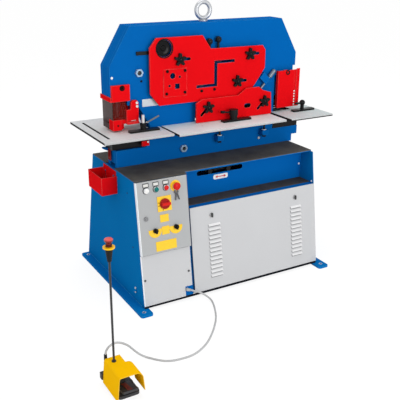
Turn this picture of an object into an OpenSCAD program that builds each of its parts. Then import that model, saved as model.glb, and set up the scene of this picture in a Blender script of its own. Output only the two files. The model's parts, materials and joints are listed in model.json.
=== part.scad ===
// Hydraulic ironworker: a sheet-metal cabinet on two foot rails carries a frame of two thick plates,
// between which a rocking beam drives the punch on the left and the shears and notcher on the right.
// X runs along the machine, Y from front to back, Z up. The origin lies on the floor, midway between
// the four anchor holes. Heights named "above the cabinet" start at the cabinet's top plate.

/* [Cabinet] */
// Width over the two side panels
cab_w = 1154; // [1100:2:1200]
// Height of the top plate above the floor
cab_h = 695; // [660:1:730]
// Distance from the middle to the front edge at the top
front_top = 279; // [260:1:300]
// Distance from the middle to the front edge at the floor
front_bottom = 377; // [340:1:400]
// Distance from the middle to the rear edge at the top
rear_top = 277; // [260:1:300]
// Distance from the middle to the rear edge at the floor
rear_bottom = 435; // [400:1:436]
// Thickness of the cabinet's sheet metal
sheet = 4; // [3:0.5:5]
// Thickness of the grey front panels
panel_t = 3; // [2:0.5:4]
// Width of the control block at the left
control_w = 297; // [280:1:320]
// Height of the shelf above the floor
shelf_z = 503; // [480:1:530]
// Distance from the middle to the back wall of the shelf recess
recess_back = 176; // [150:1:200]
// Height of the control door's lower edge
door_bottom = 304; // [280:1:320]
// Thickness of the control door
door_t = 18; // [14:1:24]
// Thickness of the rubber mats
mat_t = 4; // [3:0.5:6]

/* [Feet] */
// Width of a foot rail
rail_w = 71; // [66:1:80]
// Length of a foot rail
rail_l = 884; // [876:2:920]
// Thickness of a foot rail
rail_t = 12; // [8:1:16]
// Corner radius of a foot rail
rail_r = 15; // [8:1:20]
// Distance from the middle to the anchor holes, sideways
anchor_x = 593; // [588:1:600]
// Distance from an anchor hole to the end of its rail
anchor_inset = 38; // [30:1:52]
// Diameter of an anchor hole
anchor_d = 14; // [10:1:18]

/* [Frame] */
// Thickness of a frame plate
plate_t = 25; // [20:1:30]
// Gap between the frame plates
plate_gap = 66; // [64:1:72]
// Middle plane of the frame, front to back
frame_y = 26; // [16:1:36]
// Height of the frame above the cabinet
frame_h = 739; // [725:1:760]
// Height of the punch nose's underside above the cabinet
nose_h = 370; // [366:1:372]
// Height of the lower jaws above the cabinet
jaw_h = 95; // [88:1:105]
// Thickness of the strips that close the frame's edge
cap_t = 10; // [6:1:11]
// Diameter of a tie bolt's sleeve
tie_d = 40; // [30:1:44]
// Outer diameter of the lifting eye
eye_d = 108; // [96:1:116]
// Diameter of the lifting eye's ring bar
eye_bar = 24; // [20:1:26]

/* [Beam and ram] */
// Main pivot, sideways
pivot_x = -282; // [-288:1:-276]
// Main pivot above the cabinet
pivot_h = 620; // [612:1:626]
// Diameter of the main pivot pin
pivot_d = 70; // [56:1:80]
// Thickness of the rocking beam
beam_t = 48; // [46:1:50]
// Punch axis, sideways
ram_x = -528; // [-530:1:-526]
// Diameter of the punch ram
ram_d = 50; // [46:1:54]
// Diameter of the punch
punch_d = 20; // [12:1:24]
// Diameter of the ram's cross pin
ram_pin_d = 20; // [16:1:22]
// Cylinder axis, sideways
rod_x = 425; // [423:1:427]
// Outer diameter of the cylinder barrel
barrel_d = 100; // [94:1:110]
// Bore of the cylinder barrel
bore_d = 80; // [70:1:84]
// Diameter of the piston rod
rod_d = 50; // [40:1:54]
// Height of the cylinder's lower pin above the floor
clevis_z = 110; // [100:1:120]

/* [Tables] */
// Height of the table tops above the cabinet
table_h = 201; // [197:1:204]
// Thickness of the tables
table_t = 12; // [10:1:14]
// Left end of the left table
left_table_x = -695; // [-710:1:-680]
// Right end of the right table
right_table_x = 730; // [715:1:745]
// Width of the stops' guide slots
stop_slot = 11; // [9:1:12]
// Width of a stop bar
stop_w = 38; // [32:1:42]
// Thickness of a stop bar
stop_t = 10; // [8:1:12]

/* [Guards] */
// Distance of the upper guard's face from the frame
upper_off = 30; // [28:1:31]
// Distance of the lower guard's face from the frame
lower_off = 47; // [46:1:50]
// Thickness of the guard sheets
guard_t = 3; // [2:0.5:3.5]
// Sideways travel of the upper guard
upper_travel = 60; // [40:1:64]
// Travel of the lower guard along its slots
lower_travel = 45; // [30:1:45]
// Outer diameter of a star knob
knob_d = 70; // [56:1:72]
// Diameter of a star knob's screw
stud_d = 10; // [8:1:12]
// Clearance between pieces that move past each other
run = 0.3; // [0.3:0.05:0.5]
// Radial clearance of pins in their bores
fit = 0.05; // [0.02:0.01:0.08]

/* [Controls] */
// Diameter of a push button
button_d = 24; // [20:1:26]
// Diameter of an emergency stop mushroom
mushroom_d = 40; // [34:1:44]
// Side of the main switch plate
switch_w = 80; // [70:1:86]
// Diameter of a selector knob
selector_d = 26; // [20:1:30]
// Diameter of a panel latch
latch_d = 24; // [20:1:28]

/* [Slug bin] */
// Width of the slug bin, away from the cabinet
bin_w = 89; // [70:1:100]
// Length of the slug bin
bin_l = 191; // [160:1:210]
// Height of the slug bin's walls
bin_h = 99; // [80:1:110]
// Wall of the slug bin
bin_t = 3; // [2:0.5:4]

/* [Foot switch] */
// Foot switch's pole, sideways
pole_x = -970; // [-980:1:-960]
// Foot switch's pole, front to back
pole_y = -898; // [-908:1:-888]
// Diameter of the pole
pole_d = 10; // [8:1:12]
// Height of the pole's stop button
pole_top = 711; // [690:1:740]
// Height of the yellow cover
cover_h = 130; // [124:1:140]
// Thickness of the cover's sheet
cover_t = 3; // [2:0.5:4]
// Diameter of the control cord
cord_d = 10; // [8:0.5:11]

/* [Hidden] */
$fn = 48;

// Paint and material colours
blue = [0, 0.37, 0.67];
red = [0.85, 0.1, 0.08];
grey = [0.8, 0.8, 0.8];
black = [0.1, 0.1, 0.11];
steel = [0.75, 0.75, 0.73];
yellow = [0.98, 0.76, 0.05];

// Cabinet faces
half_w = cab_w / 2;
inner_w = half_w - sheet;
control_x = -half_w + control_w;
floor_in = rail_t + sheet;
floor_inset = 30;
anchor_y = rail_l / 2 - anchor_inset;
front_angle = atan2(front_bottom - front_top, cab_h - rail_t);
rear_angle = atan2(rear_bottom - rear_top, cab_h - rail_t);
function front_y(z) = -front_top - (cab_h - z) * tan(front_angle);
function rear_y(z) = rear_top + (cab_h - z) * tan(rear_angle);
function slope_v(z) = (z - rail_t) / cos(front_angle);

// Frame planes, front to back
gap_front = frame_y - plate_gap / 2;
gap_back = frame_y + plate_gap / 2;
face = gap_front - plate_t;
back = gap_back + plate_t;
beam_front = frame_y - beam_t / 2;
beam_back = frame_y + beam_t / 2;
cheek = 10;
tongue_gap = 1;
tongue_front = beam_front + cheek + tongue_gap;
tongue_back = beam_back - cheek - tongue_gap;
function up(h) = cab_h + h;

// Frame outline above the cabinet
nose_left = -583;
nose_step = -488;
step_h = nose_h - 35;
frame_right = 601;
jaw_left = -561;
throat_right = 455;
notch_jaw = 95;
frame_outline = [[jaw_left, 0], [jaw_left, jaw_h], [-385, jaw_h], [-355, 185], [-360, 215], [-432, step_h],
  [nose_step, step_h], [nose_step, nose_h], [nose_left, nose_h], [nose_left, 540], [-466, frame_h],
  [487, frame_h], [frame_right, 541], [frame_right, 465], [585, 465], [585, 415], [throat_right, 415],
  [throat_right, notch_jaw], [642, notch_jaw], [642, 43], [603, 43], [603, 0]];
first_capped_edge = 8;
last_capped_edge = 12;
shear_left = -80;
shear_right = 390;
shear_bottom = table_h - 36;
shear_top = 260;
tie_places = [[-157, 58], [-420, 501]];

// Rocking beam above the cabinet
ram_pin_h = 485;
lug_h = 290;
open_pivot = 6;
beam_outline = [[-548, 450], [-548, 540], [-490, 645], [-400, 700], [-180, 700], [0, 635], [430, 565],
  [560, 480], [565, 445], [565, 290], [470, 290], [455, 262], [395, 262], [395, 275], [-90, 275],
  [-150, 330], [-330, 400], [-368, 520], [-400, 556], [-470, 556], [-490, 536], [-490, 450]];
guide_bottom = nose_h + 1;
guide_top = 420;
rod_pin_d = 30;

// Tables
table_under = table_h - table_t;
middle_left = -290;
middle_right = 400;
middle_front = -241;
left_right = -305;
left_front = -211;
left_back = 291;
right_left = 430;
right_front = -251;
right_back = 150;
long_slot_x = -643;
work_gap = 9;

// Guards above the cabinet
upper_face = face - upper_off;
lower_face = face - lower_off;
upper_outline = [[-316, 321], [-368, 388], [-368, 626], [-329, 675], [-52, 675], [0, 602], [341, 600],
  [361, 573], [361, 472], [304, 394], [240, 321]];
lower_outline = [[-98, table_h + 2], [-98, 312], [-63, 333], [175, 334], [226, 369], [314, 369], [343, 347],
  [400, 330], [408, table_h + 2]];
upper_knobs = [[-193, 557], [253, 557], [172, 411]];
lower_knobs = [[-25, 285], [352, 283]];
boss_d = 26;
flange = 10;
slot_w = stud_d + 6;
window_d = 90;

// Control door devices, measured down from the door's top edge
door_gap = 0.5;
door_left = -half_w + 1;
door_right = control_x - 1;
door_top = cab_h - 5;
door_face = door_t + door_gap;
button_z = door_top - 46;
button_xs = [door_left + 55, door_left + 112, door_left + 169];
stop_x = door_left + 224;
switch_at = [door_left + 153, door_top - 128];
lock_at = [door_left + 42, door_top - 192];
selector_xs = [door_left + 89, door_left + 210];
selector_z = door_top - 262;
bezel = 3;

// Stroke setting slot in the recess wall
stroke_left = -150;
stroke_right = 152;
stroke_z = cab_h - 55;
stroke_h = 28;

// Louvre panel
louvre_left = control_x + 12;
louvre_bottom = rail_t + 14;
louvre_rows = 13;
louvre_pitch = 24;
louvre_w = 75;
louvre_xs = [-161, 396];
louvre_first = shelf_z - 408;
latch_xs = [-137, 430];
latch_z = shelf_z - 58;

// Foot switch
cover_left = pole_x - 32;
cover_right = pole_x + 81;
cover_front = pole_y - 129;
cover_step = pole_y - 27;
cover_back = pole_y + 36;
pedal_axis = [pole_y - 34, 22];
lug_top = 56;

// Cord route from the foot switch's gland to the gland in the cabinet's corner
cord_route = [[-990, -852, 145], [-984, -851, 163], [-966, -847, 177], [-937, -838, 178], [-899, -821, 156],
  [-859, -800, 118], [-828, -784, 78], [-796, -770, 38], [-770, -767, 14], [-748, -782, 5], [-724, -812, 5],
  [-690, -843, 5], [-645, -860, 5], [-574, -864, 5], [-525, -852, 5], [-482, -830, 5], [-440, -801, 5],
  [-401, -765, 5], [-362, -724, 5], [-327, -682, 5], [-296, -641, 5], [-268, -594, 5], [-244, -545, 5],
  [-226, -500, 6], [-217, -462, 11], [-224, -436, 20], [-240, -418, 32], [-262, -407, 45], [-285, -399, 54],
  [-304, -389, 61]];

// Helper shapes

module span(low, high) {
  translate(low) cube(high - low);
}

// A flat outline in X and Z, carried from one Y to another
module slab(y0, y1) {
  translate([0, y1, 0]) rotate([90, 0, 0]) linear_extrude(y1 - y0) children();
}

// A flat outline in Y and Z, carried from one X to another
module side_slab(x0, x1) {
  translate([x0, 0, 0]) rotate([90, 0, 90]) linear_extrude(x1 - x0) children();
}

// Places pieces on the sloping front: X across, Z up the slope, -Y outwards
module on_front() {
  translate([0, -front_bottom, rail_t]) rotate([-front_angle, 0, 0]) children();
}

module on_rear() {
  translate([0, rear_bottom, rail_t]) rotate([rear_angle, 0, 0]) children();
}

// A pin along Y
module pin(at, r, y0, y1) {
  translate([at.x, y1, at.y]) rotate([90, 0, 0]) cylinder(r = r, h = y1 - y0);
}

// Points of an arc that begins at an angle and sweeps round from there
function arc_points(centre, r, start, sweep) = [for (i = [0:12])
  let (turn = start + i * sweep / 12) centre + r * [cos(turn), sin(turn)]];

// A slot outline between two points, with round ends
module slot2d(a, b, w) {
  turn = atan2(b.y - a.y, b.x - a.x);
  polygon(concat(arc_points(b, w / 2, turn - 90, 180), arc_points(a, w / 2, turn + 90, 180)));
}

// A rectangle with round corners
module round_rect(size, r) {
  translate([r, 0]) square([size.x - 2 * r, size.y]);
  translate([0, r]) square([size.x, size.y - 2 * r]);
  for (x = [r, size.x - r], y = [r, size.y - r]) translate([x, y]) circle(r);
}

// The part of an outline that lies within t of some of its edges
module edge_band(points, first, last, t) {
  intersection() {
    polygon(points);
    for (i = [first:last]) {
      a = points[i];
      b = points[(i + 1) % len(points)];
      translate(a) rotate(atan2(b.y - a.y, b.x - a.x)) translate([-t, -t])
        square([norm(b - a) + 2 * t, 2 * t]);
    }
  }
}

// The Z-shaped opening of the angle shear
module angle_slot(extra) {
  translate([0, cab_h]) {
    translate([23 - extra, 519 - extra]) square([132 + 2 * extra, 16 + 2 * extra]);
    translate([23 - extra, 394 - extra]) square([20 + 2 * extra, 141 + 2 * extra]);
    translate([-89 - extra, 394 - extra]) square([132 + 2 * extra, 16 + 2 * extra]);
  }
}

// The openings of the bar shear
module bar_holes(extra) {
  translate([0, cab_h]) {
    translate([-236, 474]) circle(d = 32 + 2 * extra);
    translate([-193, 466]) circle(d = 14 + 2 * extra);
    translate([-255, 422]) circle(d = 14 + 2 * extra);
    translate([-208, 417]) square(28 + 2 * extra, center = true);
  }
}

// Cabinet

module base_frame() color(blue) {
  for (side = [-1, 1]) difference() {
    translate([side > 0 ? anchor_x + 32 - rail_w : -anchor_x - 32, -rail_l / 2, 0])
      linear_extrude(rail_t) round_rect([rail_w, rail_l], rail_r);
    for (y = [-anchor_y, anchor_y]) translate([side * anchor_x, y, -1])
      cylinder(d = anchor_d, h = rail_t + 2);
  }
  span([-half_w, -front_bottom + floor_inset, rail_t], [half_w, rear_bottom, floor_in]);
  // Ears and pin that carry the cylinder
  for (y = [frame_y - 34, frame_y + 20]) slab(y, y + 14) translate([rod_x, 0]) {
    translate([-35, floor_in]) square([70, clevis_z - floor_in]);
    translate([0, clevis_z]) circle(35);
  }
  pin([rod_x, clevis_z], 15, frame_y - 34, frame_y + 34);
}

module side_panels() color(blue) {
  profile = [[front_y(floor_in), floor_in], [rear_y(floor_in), floor_in],
    [rear_y(cab_h - sheet), cab_h - sheet], [front_y(cab_h - sheet), cab_h - sheet]];
  side_slab(-half_w, -inner_w) polygon(profile);
  side_slab(inner_w, half_w) polygon(profile);
  // Earth screw
  translate([-half_w - 8, -275, 79]) rotate([0, 90, 0]) cylinder(d = 14, h = 9);
  // Pegs that the slug bin hangs on
  for (y = [bin_y0 + 40, bin_y0 + bin_l - 40]) translate([-half_w - bin_t - 3, y, peg_z]) rotate([0, 90, 0])
    cylinder(d = 8, h = bin_t + 4);
}

module rear_panel() color(blue) on_rear()
  span([-half_w, 0, slope_rear(floor_in)], [half_w, panel_t, slope_rear(cab_h)]);

function slope_rear(z) = (z - rail_t) / cos(rear_angle);

module top_plate() color(blue) difference() {
  translate([0, 0, cab_h - sheet]) linear_extrude(sheet) polygon([[-half_w, front_y(cab_h)],
    [control_x, front_y(cab_h)], [control_x, front_y(cab_h) + 18], [half_w, front_y(cab_h) + 18],
    [half_w, rear_top], [-half_w, rear_top]]);
  span([rod_x - 75, gap_front, cab_h - sheet - 1], [rod_x + 75, gap_back, cab_h + 1]);
}

// Folded sheet of the shelf recess with the partition beside the control block
module recess_sheet() color(blue) {
  wall = -recess_back;
  top = cab_h - sheet;
  shelf_front = front_y(shelf_z) + panel_t;
  corner_bottom = floor_in + 2;
  difference() {
    union() {
      side_slab(control_x, inner_w) polygon([[shelf_front, shelf_z - panel_t],
        [wall + panel_t, shelf_z - panel_t], [wall + panel_t, top], [wall, top], [wall, shelf_z],
        [shelf_front, shelf_z]]);
      side_slab(control_x - sheet, control_x) polygon([[front_y(floor_in), floor_in],
        [wall + panel_t, floor_in], [wall + panel_t, top], [front_y(top), top]]);
      on_front() span([control_x - 60, 0, slope_v(corner_bottom)], [control_x - 1, panel_t, slope_v(95)]);
    }
    slab(wall - 1, wall + panel_t + 1)
      slot2d([stroke_left + stroke_h / 2, stroke_z], [stroke_right - stroke_h / 2, stroke_z], stroke_h);
  }
}

// Mounting plate with the transformer and contactors behind the control door
module control_gear() color(grey) {
  plate_y = -recess_back - 40;
  span([-inner_w, plate_y, door_bottom + 40], [control_x - sheet, plate_y + 3, cab_h - 60]);
  for (x = [-inner_w + 40:52:-inner_w + 196])
    span([x, plate_y - 45, cab_h - 190], [x + 44, plate_y, cab_h - 110]);
  span([-inner_w + 60, plate_y - 50, door_bottom + 70], [-inner_w + 160, plate_y, door_bottom + 160]);
}

module lower_panel() color(grey) on_front() difference() {
  span([-half_w, -panel_t, slope_v(floor_in + 8)], [control_x - 4, 0, slope_v(door_bottom - 1)]);
  span([control_x - 48, -panel_t - 1, 0], [control_x, 1, slope_v(78)]);
}

module louvre_panel() color(grey) on_front() {
  difference() {
    span([louvre_left, -panel_t, slope_v(louvre_bottom)], [half_w, 0, slope_v(shelf_z)]);
    for (x = latch_xs) translate([x, 1, slope_v(latch_z)]) rotate([90, 0, 0])
      cylinder(d = 12, h = panel_t + 2);
  }
  // Louvres are pressed hoods, open below
  for (x = louvre_xs, i = [0:louvre_rows - 1])
    translate([x, -panel_t, slope_v(louvre_first + i * louvre_pitch)])
      rotate([90, 0, 90]) linear_extrude(louvre_w) polygon([[1, 0], [-8, 1], [-7, 6], [1, 14]]);
}

module rubber_mats() color(black) {
  frame_room = 3;
  bare_ledge = 36;
  edge_y = front_y(cab_h);
  translate([0, 0, cab_h]) linear_extrude(mat_t) difference() {
    polygon([[-half_w, edge_y - 10], [control_x + 4, edge_y - 10], [control_x + 4, edge_y + 18],
      [half_w, edge_y + 18], [half_w, rear_top], [-half_w, rear_top]]);
    translate([-600, face - frame_room]) square([1220, back - face + 2 * frame_room]);
  }
  span([control_x, front_y(shelf_z) + bare_ledge, shelf_z], [inner_w, -recess_back, shelf_z + mat_t]);
}

// Frame

module plate_openings() {
  translate([0, cab_h]) {
    translate([shear_left, shear_bottom]) square([shear_right - shear_left, shear_top - shear_bottom]);
    translate([pivot_x, pivot_h]) circle(d = pivot_d + 2 * fit);
    for (at = tie_places) translate(at) circle(d = tie_d - 16 + 2 * fit);
  }
  angle_slot(3);
  bar_holes(-2);
}

module frame_sheet(y0, y1) slab(y0, y1) difference() {
  translate([0, cab_h]) polygon(frame_outline);
  plate_openings();
}

module front_plate() color(blue) difference() {
  union() {
    frame_sheet(face, gap_front);
    // Bosses that the guards' star knobs screw into
    for (at = upper_knobs) pin([at.x, up(at.y)], boss_d / 2, upper_face + guard_t + run, face);
    for (at = lower_knobs) pin([at.x, up(at.y)], boss_d / 2, lower_face + guard_t + run, face);
  }
  for (at = concat(upper_knobs, lower_knobs)) pin([at.x, up(at.y)], stud_d / 2 + run, lower_face, face + 14);
}

// The rear plate has a small ear beside the lower jaw
module rear_plate() color(blue) {
  frame_sheet(gap_back, back);
  slab(gap_back, back) translate([0, cab_h])
    polygon([[jaw_left + 1, 70], [jaw_left + 1, jaw_h], [-596, jaw_h], [-596, 88]]);
}

// Strips that close the frame's edge, a shorter one above the slugs' way out, and the ram's guide block
module frame_cap() color(blue) {
  slab(gap_front, gap_back) translate([0, cab_h])
    edge_band(frame_outline, first_capped_edge, last_capped_edge, cap_t);
  span([jaw_left, gap_front, up(20)], [jaw_left + 8, gap_back, up(jaw_h)]);
  difference() {
    span([ram_x - 44, gap_front, up(guide_bottom)], [ram_x + 44, gap_back, up(guide_top)]);
    translate([ram_x, frame_y, up(guide_bottom) - 1])
      cylinder(d = ram_d + 2 * fit, h = guide_top - guide_bottom + 2);
  }
}

// Main pivot pin with its end caps, and the two tie bolts with their sleeves and nuts
module frame_pins() color(steel) {
  pivot = [pivot_x, up(pivot_h)];
  pin(pivot, pivot_d / 2, face - 12, back + 12);
  pin(pivot, pivot_d / 2 + 8, face - 12, face);
  pin(pivot, pivot_d / 2 + 8, back, back + 12);
  for (tie = tie_places) {
    at = [tie.x, up(tie.y)];
    pin(at, tie_d / 2, gap_front, gap_back);
    pin(at, tie_d / 2 - 8, face - 4, back + 4);
    for (y0 = [face - 16, back]) translate([at.x, y0 + 16, at.y]) rotate([90, 0, 0]) difference() {
      cylinder(d = tie_d + 4, h = 16, $fn = 6);
      translate([0, 0, y0 < face ? 4 : -1]) cylinder(d = tie_d - 16, h = 13);
    }
  }
}

module lifting_eye() color(steel) {
  top = up(frame_h);
  translate([0, frame_y, top]) cylinder(d = eye_bar * 2, h = 8);
  translate([0, frame_y, top + eye_d / 2 + 4]) rotate([90, 0, 0])
    rotate_extrude() translate([(eye_d - eye_bar) / 2, 0]) circle(d = eye_bar);
}

// Bolsters under the outer tables, the punch die and the fixed shear blade
module fixed_tooling() color(black) {
  under = up(table_under);
  difference() {
    span([-575, face + 20, up(jaw_h)], [-398, back - 2, under]);
    translate([ram_x, frame_y, up(jaw_h) - 1]) cylinder(d = punch_d + 14, h = table_h);
  }
  difference() {
    translate([ram_x, frame_y, under]) cylinder(d = 60, h = table_t);
    translate([ram_x, frame_y, under - 1]) cylinder(d = punch_d + 1, h = table_t + 2);
  }
  // The notch bolster leaves room for the swinging piston rod
  difference() {
    span([460, face + 2, up(notch_jaw)], [640, back - 2, under]);
    span([459, gap_front, up(notch_jaw) - 1], [482, gap_back, under + 1]);
  }
  span([shear_left, face, up(shear_bottom)], [shear_right, gap_front, up(table_h)]);
}

// Painted red pieces of the punch station: head bracket, stripper with its arm and bracket, slug strip
strip_z = up(table_h) + work_gap;
strip_h = 56;
strip_front = face - 14;
strip_back = strip_front + 54;
station_left = -578;
station_right = -502;

module punch_brackets() color(red) {
  head_bottom = up(nose_h - 8);
  difference() {
    union() {
      span([-580, strip_front, head_bottom], [-478, face, up(447)]);
      span([nose_left - 5, strip_front, head_bottom], [nose_step - 1, back + 10, up(nose_h)]);
      span([nose_left - 5, strip_front, up(nose_h)], [nose_left, back + 10, up(nose_h + 16)]);
    }
    translate([ram_x, frame_y, up(nose_h) - 10]) cylinder(d = ram_d + 12, h = 20);
    pin([-521, up(431)], 9, strip_front - 1, strip_front + 8);
  }
  // Stripper: block in front, plate with a hole round the punch behind
  translate([0, 0, strip_z]) linear_extrude(strip_h) polygon([[station_left, strip_front],
    [-531, strip_front], [station_right, strip_front + 36], [station_right, strip_back],
    [station_left, strip_back]]);
  difference() {
    span([station_left + 5, strip_back - 1, strip_z], [station_right, frame_y + 35, strip_z + 14]);
    translate([ram_x, frame_y, strip_z - 1]) cylinder(d = punch_d + 8, h = 20);
  }
  // Sheet that closes the station at the back
  span([station_left + 5, frame_y + 32, strip_z + 13], [station_right, frame_y + 35, head_bottom + 1]);
  span([-530, face - 2, up(240)], [-470, face + 18, up(262)]);
  slab(strip_front, face) translate([0, cab_h]) difference() {
    polygon([[-500, 238], [-431, 238], [-431, 350], [-440, 361], [-462, 363], [-473, 352], [-476, 315],
      [-500, 314]]);
    translate([-492, 250]) square([50, 6]);
  }
  span([-500, strip_front - 10, up(238)], [-431, strip_front, up(246)]);
  span([-414, strip_front, up(106)], [-372, face, up(133)]);
  // Strip beside the plates that guides slugs to the bin
  difference() {
    span([-572, frame_y - 2, up(30)], [-568, frame_y + 31, up(jaw_h)]);
    for (y = [frame_y + 8, frame_y + 21]) translate([-573, y, up(43)]) rotate([0, 90, 0])
      cylinder(d = 9, h = 6);
  }
}

// Smoked clear box around the punch
module punch_guard() color([0.25, 0.22, 0.22, 0.5]) {
  top = up(nose_h - 8);
  block_top = strip_z + strip_h;
  front = face - 10;
  span([station_left, front, block_top], [station_right, front + 4, top]);
  span([station_left, front + 4, block_top], [station_left + 4, strip_back, top]);
  span([station_left, strip_back, strip_z], [station_left + 4, back + 8, top]);
  span([station_right - 4, front + 4, block_top], [station_right, strip_back, top]);
}

// Tables

module left_table() color(steel) translate([0, 0, up(table_under)]) linear_extrude(table_t) difference() {
  translate([left_table_x, left_front]) square([left_right - left_table_x, left_back - left_front]);
  translate([-368, face - 2]) square([200, back - face + 4]);
  translate([ram_x, frame_y]) circle(d = 60 + 2 * run);
  slot2d([long_slot_x, -140], [long_slot_x, 228], 14);
  slot2d([left_post.x - 25, left_post.y], [left_post.x + 25, left_post.y], stop_slot);
}

module middle_table() color(steel) translate([0, 0, up(table_under)]) linear_extrude(table_t) difference() {
  translate([middle_left, middle_front]) square([middle_right - middle_left, face - middle_front]);
  slot2d([middle_post.x - 20, middle_post.y], [middle_post.x + 40, middle_post.y], stop_slot);
}

module right_table() color(steel) translate([0, 0, up(table_under)]) linear_extrude(table_t) difference() {
  translate([right_left, right_front]) square([right_table_x - right_left, right_back - right_front]);
  translate([right_left - 1, face - 2]) square([156, back - face + 4]);
  slot2d([right_post.x - 30, right_post.y], [right_post.x + 20, right_post.y], stop_slot);
}

// Stops that slide along X in their table slots
left_post = [-425, -86];
middle_post = [118, -121];
right_post = [620, -98];

module stop_body(post, bar_from, bar_to) {
  z0 = up(table_h) + run;
  translate([bar_from, post.y - stop_w / 2, z0])
    linear_extrude(stop_t) round_rect([bar_to - bar_from, stop_w], 8);
  translate([post.x, post.y, up(table_under) - run - 8]) {
    cylinder(d = stop_slot - 2 * run, h = table_t + 2 * run + 9);
    cylinder(d = stop_slot + 9, h = 8);
  }
}

module left_stop() color(black) {
  z0 = up(table_h) + run + stop_t;
  stop_body(left_post, -507, -333);
  translate([left_post.x, left_post.y, z0]) cylinder(d1 = 30, d2 = 34, h = 34);
  translate([left_post.x, left_post.y, z0 + 34]) cylinder(d = 16, h = 44);
  translate([left_post.x, left_post.y, z0 + 26]) rotate([0, 68, 0]) cylinder(d = 9, h = 100);
}

module middle_stop() color(black) {
  z0 = up(table_h) + run + stop_t;
  stop_body(middle_post, 43, 231);
  translate([middle_post.x, middle_post.y, z0]) cylinder(d = 44, h = 24);
  translate([middle_post.x, middle_post.y, z0 + 24]) cylinder(d = 50, h = 32);
  translate([middle_post.x, middle_post.y, z0 + 38]) rotate([0, -82, 0]) cylinder(d = 9, h = 62);
  translate([middle_post.x - 61, middle_post.y, z0 + 46.5]) rotate([0, -82, 0]) cylinder(d = 16, h = 22);
}

module right_stop() color(black) {
  z0 = up(table_h) + run + stop_t;
  stop_body(right_post, 548, 705);
  translate([right_post.x, right_post.y, z0]) cylinder(d = 22, h = 34);
  translate([right_post.x, right_post.y, z0 + 38]) sphere(d = 34);
  translate([right_post.x, right_post.y, z0 + 36]) rotate([0, -86, 12]) cylinder(d = 12, h = 62);
}

// Blue blocks on the frame's face: two table supports, the spindle's block and the hold-down lug
support_places = [[65, 95], [375, 90]];
spindle_at = [345, 345];
spindle_turn = 43;
spindle_y = face - 14;
spindle_d = 14;
hold_down_xs = [-2, 54];
hold_down_y = face - 18;

module frame_brackets() color(blue) {
  for (at = support_places) difference() {
    span([at.x - 20, face - 44, up(at.y) - 15], [at.x + 20, face, up(at.y) + 15]);
    translate([at.x, face - 29, up(at.y) - 16]) cylinder(d = 12 + 2 * fit, h = 32);
  }
  // The spindle's bearing is open at the front right
  translate([spindle_at.x, spindle_y, up(spindle_at.y)]) rotate([0, spindle_turn, 0]) difference() {
    union() {
      span([-56, -14, 42], [0, 14, 84]);
      span([-1, 0, 42], [14, 14, 84]);
    }
    cylinder(d = spindle_d + 2 * fit, h = 100);
  }
  difference() {
    span([hold_down_xs[0] - 14, face - 26, up(576)], [hold_down_xs[1] + 14, face, up(590)]);
    for (x = hold_down_xs) translate([x, hold_down_y, up(575)]) cylinder(d = 14 + 2 * fit, h = 16);
  }
}

// Black steel fittings: table bolts, hold-down screws with ball heads, the guard's flat stop bar and the
// sheets that close the notcher's throat and the flat shear at the back
module black_fittings() color(black) {
  for (at = support_places) {
    translate([at.x, face - 29, up(at.y) - 15 - 12]) cylinder(d = 26, h = 12, $fn = 6);
    translate([at.x, face - 29, up(at.y) - 15]) cylinder(d = 12, h = up(table_under) - up(at.y) + 15);
  }
  for (x = hold_down_xs) {
    head_z = up(638) + (x - hold_down_xs[0]) * 0.15;
    translate([x, hold_down_y, up(560)]) cylinder(d = 14, h = head_z - up(560));
    translate([x, hold_down_y, head_z]) sphere(r = face - hold_down_y - run);
  }
  span([-432, face - 8, up(591)], [-330, face, up(609)]);
  span([440, back, up(table_h + 2)], [598, back + 3, up(440)]);
  span([shear_left - 6, back, up(table_h + work_gap + 4)], [shear_right + 6, back + 3, up(shear_top + 8)]);
}

module hold_down_spindle() color(steel)
  translate([spindle_at.x, spindle_y, up(spindle_at.y)]) rotate([0, spindle_turn, 0]) {
    translate([0, 0, 8]) cylinder(d = spindle_d, h = 84);
    translate([0, 0, 92]) cylinder(d = 25, h = 46);
    translate([0, 0, 138]) cylinder(d1 = 25, d2 = 16, h = 6);
  }

// Notcher guard: face, folded slotted channel and the strip beside it
module notcher_guard() color(red) {
  front = face - 29;
  channel = front + 8;
  bottom = up(table_h + 24);
  top = up(443);
  left = 461;
  fold = 579;
  strip = 595;
  difference() {
    union() {
      span([left, front, bottom], [fold, front + guard_t, top]);
      span([left, front, bottom], [left + guard_t, front + 20, top]);
      span([fold - guard_t, front, bottom], [fold, channel, top]);
      span([fold - guard_t, channel - guard_t, bottom], [strip + guard_t, channel, top]);
      span([strip, front, bottom], [strip + guard_t, channel, top]);
      span([strip, front, bottom], [618, front + guard_t, top + 6]);
      span([515, front + guard_t, up(418)], [545, face, up(441)]);
    }
    pin([530, up(430)], 8, front - 1, front + 8);
    for (i = [0:5]) translate([fold + 2, channel - guard_t - 1, bottom + 6 + i * 16])
      cube([strip - fold - 4, guard_t + 2, 8]);
  }
}

// Guards and star knobs

module upper_guard() color(red) difference() {
  union() {
    slab(upper_face, upper_face + guard_t) translate([0, cab_h]) polygon(upper_outline);
    slab(upper_face, upper_face + flange) translate([0, cab_h]) {
      edge_band(upper_outline, 0, 3, guard_t);
      edge_band(upper_outline, 7, 7, guard_t);
    }
    slab(upper_face - guard_t, upper_face) translate([-290, up(363)]) square([140, 147]);
  }
  for (at = upper_knobs) slab(upper_face - 1, face)
    slot2d([at.x, up(at.y)], [at.x + upper_travel, up(at.y)], slot_w);
  slab(upper_face - 1, face) translate([pivot_x, up(pivot_h)]) circle(d = window_d);
  slab(upper_face - 5, face) angle_slot(0);
  slab(upper_face - 5, face) bar_holes(0);
}

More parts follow.
